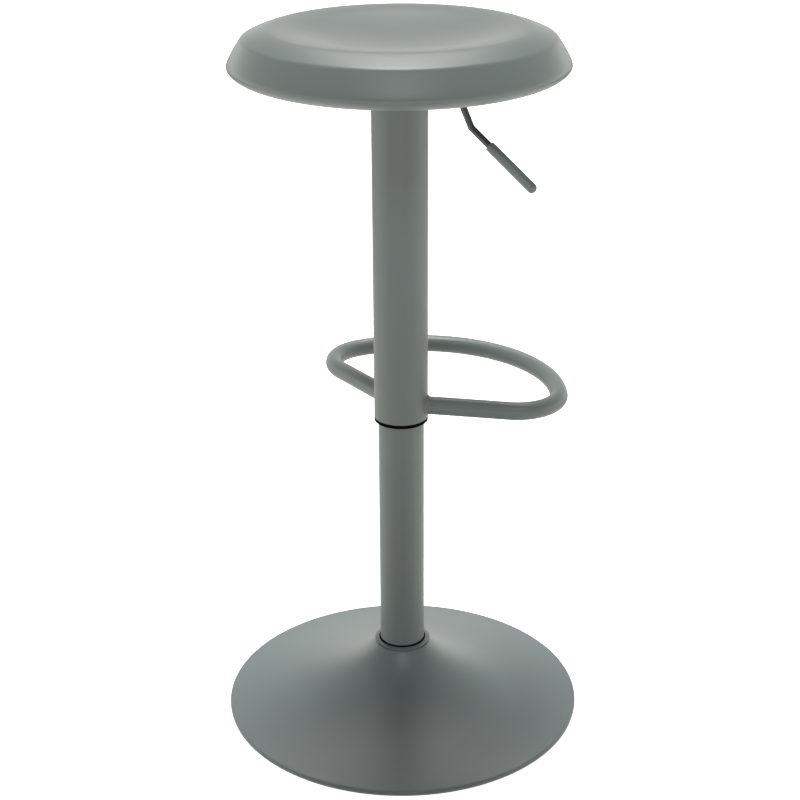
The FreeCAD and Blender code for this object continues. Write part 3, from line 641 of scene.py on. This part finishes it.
@dataclass
class Finishes:
    """All the stool's materials, made once and looked up by slot."""

    made: dict = field(default_factory=dict)

    def make(self) -> None:
        """Makes the three shader groups and one material for each slot."""
        skins = {PowderCoat: powder_skin(), Metal: lined_skin(), Moulded: moulded_skin()}
        plans = {
            Slot.SEAT_PAINT: PowderCoat(grain_share=0.25, relief=0.02 * MM),
            Slot.COLUMN_PAINT: PowderCoat(relief=0.03 * MM),
            # Same grey powder coat as seat and column, made lighter and bluer: painted light that the studio
            # leaves short on the base.
            Slot.BASE_PAINT_LIT: PowderCoat((138, 148, 148), grain_share=0.35),
            Slot.MECHANISM_PAINT: PowderCoat((38, 39, 40), relief=0.1 * MM),
            Slot.CYLINDER_PAINT: PowderCoat((24, 25, 26), grain_share=0.3, roughness=0.42),
            Slot.RING_PLASTIC: Moulded((176, 180, 181)),
            Slot.BUSH_PLASTIC: Moulded((3, 3, 3), roughness=0.7, specular=0.04),
            Slot.GRIP_PLASTIC: Moulded((140, 146, 145), pit_size=0.7 * MM, relief=0.06 * MM),
            Slot.BLACK_RUBBER: Moulded((8, 8, 8), pit_size=0.9 * MM, roughness=0.75, specular=0.12),
            Slot.LEVER_STEEL: Metal((104, 108, 107), stretch=(1.0, 1.0, 1.0), line_size=1.2 * MM,
                                    roughness=0.42, metallic=0.5),
            Slot.BARE_STEEL: Metal((150, 149, 146)),
            Slot.ZINC_STEEL: Metal((176, 176, 172), stretch=(1.0, 1.0, 8.0), roughness=0.3),
            Slot.BEARING_STEEL: Metal((192, 192, 190), roughness=0.18, play=0.1),
            Slot.ROD_CHROME: Metal((205, 206, 208), roughness=0.08, play=0.06, drift=0.05),
            Slot.SPRING_ALLOY: Metal((182, 183, 184), roughness=0.34),
        }
        for slot, finish in plans.items():
            self.made[slot] = finish.material(slot.value + "_finish", skins[type(finish)])

    def __getitem__(self, slot: Slot) -> bpy.types.Material:
        """The material of a slot."""
        return self.made[slot]


# Sub-assemblies

@dataclass
class Assembly:
    """A sub-assembly of the stool: it builds its own pieces and dresses the frame's nodes."""

    finishes: Finishes

    def settle(self, obj: bpy.types.Object, body: Body, slot: Slot, node: str) -> None:
        """Gives a new piece its body and its slot's finish, hides the frame's node that it stands for, and
        reports it.

        Args:
            obj: The piece.
            body: The body that it rides on.
            slot: The record's slot of its finish.
            node: The frame's node that it replaces.
        """
        obj.data.materials.append(self.finishes[slot])
        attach(obj, body.value)
        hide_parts(node)
        LOG.info("built %s: %d faces, rides on %s", obj.name, len(obj.data.polygons), body.value)

    def dress(self, plan: dict) -> None:
        """Gives nodes of the frame their materials, and reports them.

        Args:
            plan: For each slot, the names of the nodes that take its finish.
        """
        for slot, nodes in plan.items():
            for node in nodes:
                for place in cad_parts[node].material_slots:
                    place.material = self.finishes[slot]
                LOG.info("dressed %s: %s", node, self.finishes[slot].name)


@dataclass
class Seat(Assembly):
    """The pressed steel seat: a shallow dish, a raised crest and an edge tucked under to a hem."""

    wall: float = 2.0 * MM
    crest_radius: float = 132.3 * MM
    crest_round: float = 150.0 * MM
    dish_depth: float = 14.0 * MM
    face_slope: float = 25.0
    face_fullness: float = 0.85
    bend_centre: float = 156.2 * MM
    bend_drop: float = 17.0 * MM
    bend_radius: float = 9.0 * MM
    flank_slope: float = 56.0
    flank_fullness: float = 0.8
    edge_drop: float = 37.0 * MM
    tuck_drop: float = 14.8 * MM
    tuck_reach: float = 34.4 * MM
    tuck_fullness: float = 0.58
    dish_steps: int = 40
    crest_steps: int = 14
    face_steps: int = 20
    bend_steps: int = 12
    flank_steps: int = 24
    hem_steps: int = 8
    sides: int = 320

    def bowl(self) -> list:
        """The dish's arc from the middle, and the crest's arc that it turns into, tangent to it.

        The dish rises by its depth over the crest's radius, so it ends at the slope
        2 atan(depth / radius), and the two arcs' radii add up to radius / sin(slope).

        Returns:
            The two runs, from the axis to the crest.
        """
        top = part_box("seat_shell")[1].z
        angle = 2 * math.atan(self.dish_depth / self.crest_radius)
        bowl = self.crest_radius / math.sin(angle) - self.crest_round
        turn = math.degrees(angle)
        low = (0.0, top - self.dish_depth + bowl)
        high = (self.crest_radius, top - self.crest_round)
        dish = arc(low, bowl, -90.0, -90.0 + turn, self.dish_steps)
        dish.points[0, 0] = 0.0
        return [dish, arc(high, self.crest_round, 90.0 + turn, 90.0, self.crest_steps)]

    def side(self, wall: float) -> list:
        """The face outside the crest, the bend, the flank and the tucked skirt, moved in by a wall.

        The bend is an arc. Conics run into it on either side: the face from the level crest, and
        the flank down to the upright widest ring. Each conic's corner is where its tangents meet.

        Args:
            wall: How far inside the outer face the runs lie.

        Returns:
            The four runs, from the crest to the hem.
        """
        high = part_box("seat_shell")[1]
        widest, outer, top = high.z - self.edge_drop, high.x - wall, high.z - wall
        low, tuck = widest - self.tuck_drop + wall, high.x - self.tuck_reach
        radius, centre = self.bend_radius - wall, (self.bend_centre, high.z - self.bend_drop)
        bend = arc(centre, radius, 90.0 - self.face_slope, 90.0 - self.flank_slope, self.bend_steps)
        first, last = bend.points[0], bend.points[-1]
        face = math.tan(math.radians(self.face_slope))
        flank = math.tan(math.radians(self.flank_slope))
        face_corner = (first[0] - (top - first[1]) / face, top)
        flank_corner = (outer, last[1] - (outer - last[0]) * flank)
        return [conic((self.crest_radius, top), face_corner, first, self.face_fullness, self.face_steps),
                bend,
                conic(last, flank_corner, (outer, widest), self.flank_fullness, self.flank_steps),
                conic((outer, widest), (outer, low), (tuck, low), self.tuck_fullness, self.flank_steps)]

    def build(self) -> None:
        """Builds the shell: dish, crest, edge, skirt and hem, and the same moved in by the wall."""
        outside = self.bowl() + self.side(0.0)
        tuck, low = outside[-1].points[-1]
        half = self.wall / 2
        hem = arc((tuck, low + half), half, -90.0, -270.0, self.hem_steps)
        inside = [moved_in(run, 0.0) for run in reversed(self.side(self.wall))]
        inner_bowl = [moved_in(run, -self.wall) for run in reversed(self.bowl())]
        inner_bowl[-1].points[-1, 0] = 0.0
        middle = straight(inner_bowl[-1].points[-1], outside[0].points[0])
        shell = turned("seat_dish", outside + [hem] + inside + inner_bowl + [middle], self.sides)
        self.settle(shell, Body.SEAT, Slot.SEAT_PAINT, "seat_shell")


@dataclass
class Base(Assembly):
    """The trumpet base: pressed cover, pale floor ring, collar and seal, and the weight inside."""

    wall: float = 1.5 * MM
    rim_round: float = 2.0 * MM
    rim_height: float = 1.3 * MM
    rim_slope: float = 8.0
    neck_height: float = 77.4 * MM
    neck_slope: float = 58.0
    neck_ledge: float = 0.4 * MM
    fullness: float = 1.0
    collar_step: float = 1.9 * MM
    collar_recess: float = 1.7 * MM
    collar_spigot: float = 1.97 * MM
    collar_lip: float = 0.6 * MM
    collar_land: float = 1.2 * MM
    collar_round: float = 1.6 * MM
    collar_edge: float = 0.2 * MM
    seal_grip: float = 0.05 * MM
    flare_steps: int = 90
    rim_steps: int = 10
    inner_rim_steps: int = 6
    sides: int = 320

    def rim_centre(self) -> tuple:
        """Radius and height of the centre of the small round between the upright lip and the flare."""
        low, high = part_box("base_cover")
        return (high.x - self.rim_round, low.z + self.rim_height)

    def flare(self) -> Run:
        """The outer flare: a conic between the neck's and the rim's tangents.

        Returns:
            The run from the rim up to the neck.
        """
        slope, steep = math.radians(self.rim_slope), math.radians(self.neck_slope)
        neck = (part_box("collar_ring")[1].x - self.neck_ledge, self.neck_height)
        centre = self.rim_centre()
        rim = (centre[0] + self.rim_round * math.sin(slope), centre[1] + self.rim_round * math.cos(slope))
        fall, shallow = math.tan(steep), math.tan(slope)
        r = (neck[1] + fall * neck[0] - rim[1] - shallow * rim[0]) / (fall - shallow)
        return conic(rim, (r, rim[1] + shallow * (rim[0] - r)), neck, self.fullness, self.flare_steps)

    def cover(self) -> bpy.types.Object:
        """The pressed cover: lip, rim round and flare, and the same moved in by the wall.

        Returns:
            The cover, as a closed turned skin.
        """
        low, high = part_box("base_cover")
        centre, slope, inner_lip = self.rim_centre(), 90.0 - self.rim_slope, high.x - self.wall
        flare = self.flare()
        inner = moved_in(flare, self.wall)
        return turned("trumpet_cover", [
            straight((high.x, low.z), (high.x, centre[1])),
            arc(centre, self.rim_round, 0.0, slope, self.rim_steps),
            flare,
            straight(flare.points[-1], inner.points[0]),
            inner,
            arc(centre, self.rim_round - self.wall, slope, 0.0, self.inner_rim_steps),
            straight((inner_lip, centre[1]), (inner_lip, low.z)),
            straight((inner_lip, low.z), (high.x, low.z))], self.sides)

    def collar(self) -> bpy.types.Object:
        """The collar: a spigot inside the neck, a shadow step and a lip that slopes up to a narrow land.

        Returns:
            The collar, as a closed turned ring.
        """
        low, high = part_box("collar_ring")
        neck, edge = self.neck_height, self.collar_edge
        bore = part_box("collar_seal")[1].x + self.seal_grip
        spigot, recess = high.x - self.collar_spigot, high.x - self.collar_recess
        lip = neck + self.collar_step
        corners = [(bore, low.z, edge), (spigot, low.z, edge), (spigot, neck, 0.0), (recess, neck, 0.0),
                   (recess, lip, 0.0), (high.x, lip, edge), (high.x, lip + self.collar_lip, edge),
                   (bore + self.collar_land, high.z, self.collar_round), (bore, high.z, edge)]
        return turned("neck_collar", rounded(corners), self.sides)

    def build(self) -> None:
        """Builds the base's outer pieces and dresses the ones inside."""
        # Cover and collar take the lightened base paint, which carries painted light.
        self.settle(self.cover(), Body.BASE, Slot.BASE_PAINT_LIT, "base_cover")
        self.settle(self.collar(), Body.BASE, Slot.BASE_PAINT_LIT, "collar_ring")
        self.dress({
            Slot.RING_PLASTIC: ("floor_ring",),
            Slot.BLACK_RUBBER: ("collar_seal",),
            Slot.BARE_STEEL: ("ballast_plate", "column_foot"),
            Slot.ZINC_STEEL: ("foot_screws",)})


@dataclass
class Column(Assembly):
    """The fixed lower tube with its guide bush."""

    wall: float = 2.0 * MM
    end_round: float = 0.4 * MM
    sides: int = 192

    def build(self) -> None:
        """Builds the tube and dresses the bush in its top."""
        tube = plain_tube("lower_tube", "column_tube", self.wall, self.end_round, self.sides)
        self.settle(tube, Body.BASE, Slot.COLUMN_PAINT, "column_tube")
        self.dress({Slot.BUSH_PLASTIC: ("guide_bush",)})


@dataclass
class Sleeve(Assembly):
    """The sliding sleeve with its black bush and the bent-tube footrest welded on."""

    wall: float = 1.5 * MM
    end_round: float = 0.35 * MM
    bush_flange: float = 3.9 * MM
    bush_round: float = 0.4 * MM
    bush_mouth: float = 0.5 * MM
    bush_edge: float = 0.1 * MM
    bush_lead: float = 0.8 * MM
    bush_spigot: float = 0.05 * MM
    bush_bore: float = 0.1 * MM
    footrest_arc: float = 159.2 * MM
    footrest_bend: float = 48.6 * MM
    leg_angle: float = 68.1
    weld_leg: float = 1.9 * MM
    weld_reach: float = 2.2 * MM
    weld_bulge: float = 0.35 * MM
    weld_ripples: int = 20
    ripple_height: float = 0.12 * MM
    ripple_lean: float = 2.2
    first_step: float = 1.0 * MM
    bead_stations: int = 15
    leg_stations: int = 18
    bend_steps: int = 39
    arc_steps: int = 59
    sides: int = 192
    tube_sides: int = 120

    def leg(self, length: float, tube: float, q: np.ndarray) -> np.ndarray:
        """One leg's rings from the sleeve out to the bend, as (along, sideways, up) from the axis.

        A ring is (s, R cos q, R sin q). At depth d from the sleeve's face, s = d + sqrt(S^2 -
        (R cos q)^2), which turns evenly into the flat ring at the leg's end. The weld bead swells
        R there: with h = 1 - d / reach, it grows by
        leg h + 4 h (1 - h) (bulge + ripple sin(n q + lean h)).

        Args:
            length: From the axis to the bend.
            tube: Radius of the tube.
            q: (sides) angles round the tube.

        Returns:
            (stations, sides, 3) points.
        """
        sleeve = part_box("sleeve_tube")[1].x
        plain = length - sleeve - self.weld_reach
        bead = np.linspace(0, self.weld_reach, self.bead_stations)
        beyond = self.weld_reach + np.geomspace(self.first_step, plain, self.leg_stations)
        depth = np.concatenate([bead, beyond])[:, None]
        share = np.clip(1 - depth / self.weld_reach, 0, 1)
        wave = self.ripple_height * np.sin(self.weld_ripples * q + self.ripple_lean * share)
        radius = tube + self.weld_leg * share + 4 * share * (1 - share) * (self.weld_bulge + wave)
        start = np.sqrt(sleeve ** 2 - (radius * np.cos(q)) ** 2)
        fade = np.clip((depth - self.weld_reach) / plain, 0, 1)
        s = (start + depth) * (1 - fade) + length * fade
        return np.dstack([s, radius * np.cos(q), radius * np.sin(q)])

    def footrest(self) -> bpy.types.Object:
        """The footrest: a circle carried along two legs, two bends and the front arc.

        Each ring is centre + R (cos q sideways + sin q up). The leg, with direction u and sideways
        n, is as long as lets the bend touch the front arc from inside:
        |length u - bend n - centre| = arc - bend.

        Returns:
            The loop, closed at both ends against the sleeve.
        """
        low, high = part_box("footrest")
        tube = (high.z - low.z) / 2
        level = (low.z + high.z) / 2
        lean = math.radians(self.leg_angle)
        along = np.array([math.sin(lean), -math.cos(lean)])
        sideways = np.array([math.cos(lean), math.sin(lean)])
        centre = np.array([0.0, low.y + tube + self.footrest_arc])
        known = -sideways * self.footrest_bend - centre
        b = along @ known
        length = -b + math.sqrt(b * b - known @ known + (self.footrest_arc - self.footrest_bend) ** 2)
        middle = along * length - sideways * self.footrest_bend
        turn = math.degrees(math.atan2(*(middle - centre)[::-1]))
        runs = (arc(middle, self.footrest_bend, self.leg_angle, turn, self.bend_steps),
                arc(centre, self.footrest_arc, turn, -90.0, self.arc_steps))
        path = np.concatenate([run.points[1:] for run in runs])
        side = np.concatenate([run.left()[1:] for run in runs])
        q = np.linspace(0, 2 * np.pi, self.tube_sides, endpoint=False)
        flat = path[:, None] + tube * np.cos(q)[None, :, None] * side[:, None]
        rings = np.dstack([flat, np.broadcast_to(tube * np.sin(q), flat.shape[:2])])
        axes = np.array([[*along, 0.0], [*sideways, 0.0], [0.0, 0.0, 1.0]])
        half = np.concatenate([self.leg(length, tube, q) @ axes, rings]) + np.array([0.0, 0.0, level])
        other = half[-2::-1] * np.array([-1.0, 1.0, 1.0])
        return carried("footrest_loop", np.concatenate([half, other]))

    def bush(self) -> bpy.types.Object:
        """The bush: a rounded black flange below the sleeve and a spigot inside it.

        Returns:
            The bush, as a closed turned ring.
        """
        low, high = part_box("sleeve_bush")
        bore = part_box("column_tube")[1].x + self.bush_bore
        seat = low.z + self.bush_flange
        body = high.x - self.wall - self.bush_spigot
        corners = [(bore, low.z, self.bush_mouth), (high.x, low.z, self.bush_round),
                   (high.x, seat, self.bush_edge), (body, seat, self.bush_edge),
                   (body, high.z, self.bush_lead), (bore, high.z, self.bush_mouth)]
        return turned("slide_bush", rounded(corners), self.sides)

    def build(self) -> None:
        """Builds sleeve, footrest and bush."""
        tube = plain_tube("upper_tube", "sleeve_tube", self.wall, self.end_round, self.sides)
        self.settle(tube, Body.SEAT, Slot.COLUMN_PAINT, "sleeve_tube")
        self.settle(self.footrest(), Body.SEAT, Slot.COLUMN_PAINT, "footrest")
        self.settle(self.bush(), Body.SEAT, Slot.BUSH_PLASTIC, "sleeve_bush")
        self.dress({Slot.BARE_STEEL: ("sleeve_ring",)})


@dataclass
class GasSpring(Assembly):
    """The gas spring and the thrust bearing, which are hidden in the column."""

    def build(self) -> None:
        """Dresses the spring's and the bearing's pieces."""
        self.dress({
            Slot.ROD_CHROME: ("piston_rod",),
            Slot.BEARING_STEEL: ("bearing_race_lower", "bearing_race_upper", "ball_cage", "bearing_balls"),
            Slot.BARE_STEEL: ("rod_clip", "inner_tube"),
            Slot.SPRING_ALLOY: ("piston", "cylinder_gland", "valve_body"),
            Slot.BLACK_RUBBER: ("bump_rubber", "piston_seal", "gland_seal"),
            Slot.CYLINDER_PAINT: ("gas_cylinder",),
            Slot.ZINC_STEEL: ("release_pin",)})


@dataclass
class Mechanism(Assembly):
    """The bolted seat plate, its mounting ring, the hub and the lever with its bracket."""

    def build(self) -> None:
        """Dresses the mechanism's pieces."""
        self.dress({
            Slot.MECHANISM_PAINT: ("mount_ring", "seat_plate", "lever_bracket"),
            Slot.ZINC_STEEL: ("weld_nuts", "plate_screws", "plate_washers", "lever_pivot_pin"),
            Slot.BARE_STEEL: ("taper_hub",),
            Slot.LEVER_STEEL: ("lever_rod",),
            Slot.GRIP_PLASTIC: ("lever_grip",)})


# Studio and camera

@dataclass
class Camera:
    """The photograph's viewpoint, as a camera on a stand in front of the stool."""

    distance: float = 1765.56 * MM
    height: float = 1124.27 * MM
    pitch: float = 22.817
    roll: float = 0.321
    yaw: float = -0.039
    turn: float = -146.88
    focal_pixels: float = 1725.676
    image: int = 800
    sensor: float = 36.0
    nearest: float = 0.1

    def build(self) -> None:
        """Places the camera: it looks along the pitched-down forward axis, turned round the stool."""
        pitch, yaw, roll = (math.radians(a) for a in (self.pitch, self.yaw, self.roll))
        forward = Vector((math.sin(yaw) * math.cos(pitch), math.cos(yaw) * math.cos(pitch), -math.sin(pitch)))
        right = Vector((math.cos(yaw), -math.sin(yaw), 0.0))
        down = forward.cross(right)
        across = math.cos(roll) * right + math.sin(roll) * down
        below = -math.sin(roll) * right + math.cos(roll) * down
        axes = Matrix((across, -below, -forward)).transposed().to_4x4()
        axes.translation = Vector((0.0, -self.distance, self.height))
        data = bpy.data.cameras.new("view_camera")
        data.sensor_width = self.sensor
        data.lens = self.focal_pixels / self.image * self.sensor
        data.clip_start = self.nearest
        camera = placed("view_camera", data)
        camera.matrix_world = Matrix.Rotation(math.radians(self.turn), 4, "Z") @ axes
        bpy.context.scene.camera = camera


@dataclass(frozen=True)
class Softbox:
    """A flat rectangular light that faces the stool. Azimuth 0 is behind the stool, 180 the camera's side."""

    name: str
    width: float
    height: float
    elevation: float
    radiance: float
    azimuth: float = 0.0
    distance: float = 9.0
    tint: tuple = (1.0, 1.0, 1.0)
    aim: float = 0.5

    def build(self, turn: float) -> None:
        """Places the light at distance x (cos e sin a, cos e cos a, sin e), turned with the view.

        Args:
            turn: The view's turn round the stool, in degrees.
        """
        a, e = math.radians(self.azimuth), math.radians(self.elevation)
        way = Vector((math.cos(e) * math.sin(a), math.cos(e) * math.cos(a), math.sin(e)))
        data = bpy.data.lights.new(self.name, "AREA")
        data.shape = "RECTANGLE"
        data.size, data.size_y = self.width, self.height
        data.energy = self.radiance * self.width * self.height * math.pi
        data.color = self.tint
        light = placed(self.name, data)
        light.visible_camera = False
        stand = Matrix.Translation(way * self.distance + Vector((0.0, 0.0, self.aim)))
        facing = way.to_track_quat("Z", "Y").to_matrix().to_4x4()
        light.matrix_world = Matrix.Rotation(math.radians(turn), 4, "Z") @ stand @ facing


@dataclass
class Studio:
    """A white sweep that lights the stool from behind, from low at both sides and from overhead.

    Levels are radiances behind, beside and in front of the stool. A floor ring is its outer radius
    and its levels, and each ring fades into the next.
    """

    turn: float = Camera.turn
    floor_half: float = 20.0
    floor_tone: tuple = (0.9, 0.9, 0.9, 1.0)
    floor_white: float = 1.0
    floor_roughness: float = 0.9
    floor_rings: tuple = ((0.45, (1.05, 1.05, 0.15)), (1.0, (1.05, 1.05, 0.6)), (3.0, (0.2, 0.9, 0.6)))
    sky_levels: tuple = (1.55, 0.0, 0.0)
    side_levels: tuple = (0.0, 5.8, 0.0)
    ceiling: float = 0.01
    band_top: float = 0.48
    side_top: float = 0.156
    least_reach: float = 0.001
    boxes: tuple = (
        Softbox("overhead_box", 2.6, 1.9, elevation=77.0, radiance=31.0),
        Softbox("rear_box", 4.2, 5.0, elevation=54.0, radiance=3.7, tint=WARM),
        Softbox("front_fill", 5.0, 2.5, elevation=45.0, radiance=3.2, azimuth=180.0),
        Softbox("low_fill", 1.6, 0.5, elevation=0.0, radiance=1.2, azimuth=184.0, distance=2.2, aim=0.4))

    def by_azimuth(self, g: Graph, place: bpy.types.NodeSocket, levels: tuple) -> bpy.types.NodeSocket:
        """Blends the levels behind, beside and in front of the stool by the azimuth's cosine.

        Args:
            g: The graph to add to.
            place: A direction, or a place on the floor.
            levels: The three levels, as seen from the camera.

        Returns:
            The blended level.
        """
        behind, beside, in_front = levels
        inputs = {"Vector": place, "Angle": -math.radians(self.turn)}
        way = g.add("ShaderNodeVectorRotate", inputs, rotation_type="Z_AXIS")
        x, y, _ = g.add("ShaderNodeSeparateXYZ", {0: way.outputs[0]}).outputs
        reach = g.maths("SQRT", g.maths("ADD", g.maths("MULTIPLY", x, x), g.maths("MULTIPLY", y, y)))
        cosine = g.maths("DIVIDE", y, g.maths("MAXIMUM", reach, self.least_reach))
        towards = g.maths("MULTIPLY", g.maths("MAXIMUM", cosine, 0.0), behind - beside)
        away = g.maths("MULTIPLY", g.maths("MINIMUM", cosine, 0.0), beside - in_front)
        return g.maths("ADD", beside, g.maths("ADD", towards, away))

    def band(self, g: Graph, height: bpy.types.NodeSocket, top: float,
             bottom: float = 0.0) -> bpy.types.NodeSocket:
        """One up to a bottom height, or distance on the floor, fading smoothly to nothing at a top one."""
        inputs = dict(enumerate((height, bottom, top, 1.0, 0.0)))
        return g.add("ShaderNodeMapRange", inputs, interpolation_type="SMOOTHSTEP").outputs[0]

    def floor(self) -> None:
        """A plain floor: white to the camera, its glow by azimuth to the stool, clear from below."""
        h = self.floor_half
        mesh = bpy.data.meshes.new("pale_floor")
        mesh.from_pydata([(-h, -h, 0), (h, -h, 0), (h, h, 0), (-h, h, 0)], [], [(0, 1, 2, 3)])
        material = bpy.data.materials.new("pale_floor_finish")
        material.use_nodes = True
        g = Graph(material.node_tree)
        white = g.tree.nodes["Principled BSDF"]
        g.feed(white, {"Base Color": self.floor_tone, "Roughness": self.floor_roughness,
                       "Emission Color": WHITE, "Emission Strength": self.floor_white})
        place = g.add("ShaderNodeTexCoord").outputs["Object"]
        reach = g.add("ShaderNodeVectorMath", {0: place}, operation="LENGTH").outputs["Value"]
        (inner, levels), *rings = self.floor_rings
        level = self.by_azimuth(g, place, levels)
        for outer, levels in rings:
            near = self.band(g, reach, outer, inner)
            beyond = g.maths("MULTIPLY", self.by_azimuth(g, place, levels), g.maths("SUBTRACT", 1.0, near))
            level, inner = g.maths("ADD", g.maths("MULTIPLY", level, near), beyond), outer
        glow = g.add("ShaderNodeEmission", {"Color": (*WARM, 1.0), "Strength": level})
        seen = g.mixed(g.add("ShaderNodeLightPath").outputs["Is Camera Ray"], glow, white)
        below = g.add("ShaderNodeNewGeometry").outputs["Backfacing"]
        surface = g.mixed(below, seen, g.add("ShaderNodeBsdfTransparent"))
        g.feed(g.tree.nodes["Material Output"], {"Surface": surface.outputs[0]})
        mesh.materials.append(material)
        placed("pale_floor", mesh)

    def sky(self) -> None:
        """Surroundings: a band at eye level behind the stool and a low strip at each side.

        Radiance = ceiling + band(z) x (blend of the sky levels) + low band(z) x (blend of the side
        levels). The camera itself sees plain white.
        """
        world = bpy.data.worlds.new("studio_light")
        world.use_nodes = True
        bpy.context.scene.world = world
        g = Graph(world.node_tree)
        way = g.add("ShaderNodeTexCoord").outputs["Generated"]
        height = g.add("ShaderNodeSeparateXYZ", {0: way}).outputs[2]
        level = self.ceiling
        for levels, top in ((self.sky_levels, self.band_top), (self.side_levels, self.side_top)):
            strip = g.maths("MULTIPLY", self.by_azimuth(g, way, levels), self.band(g, height, top))
            level = g.maths("ADD", level, strip)
        light = g.tree.nodes["Background"]
        g.feed(light, {"Color": (*WARM, 1.0), "Strength": level})
        plain = g.add("ShaderNodeBackground", {"Color": WHITE})
        seen = g.mixed(g.add("ShaderNodeLightPath").outputs["Is Camera Ray"], light, plain)
        g.feed(g.tree.nodes["World Output"], {"Surface": seen.outputs[0]})

    def build(self) -> None:
        """Builds floor, surroundings and lights."""
        self.floor()
        self.sky()
        for box in self.boxes:
            box.build(self.turn)
        bpy.context.scene.view_settings.view_transform = "Standard"


def main() -> None:
    """Builds the stool piece by piece, then the studio and the camera."""
    logging.basicConfig(level=logging.INFO, format="%(name)s: %(message)s")
    finishes = Finishes()
    finishes.make()
    for assembly in (Base, Column, Sleeve, Seat, GasSpring, Mechanism):
        assembly(finishes).build()
    Studio().build()
    Camera().build()


if __name__ == "__main__":
    main()
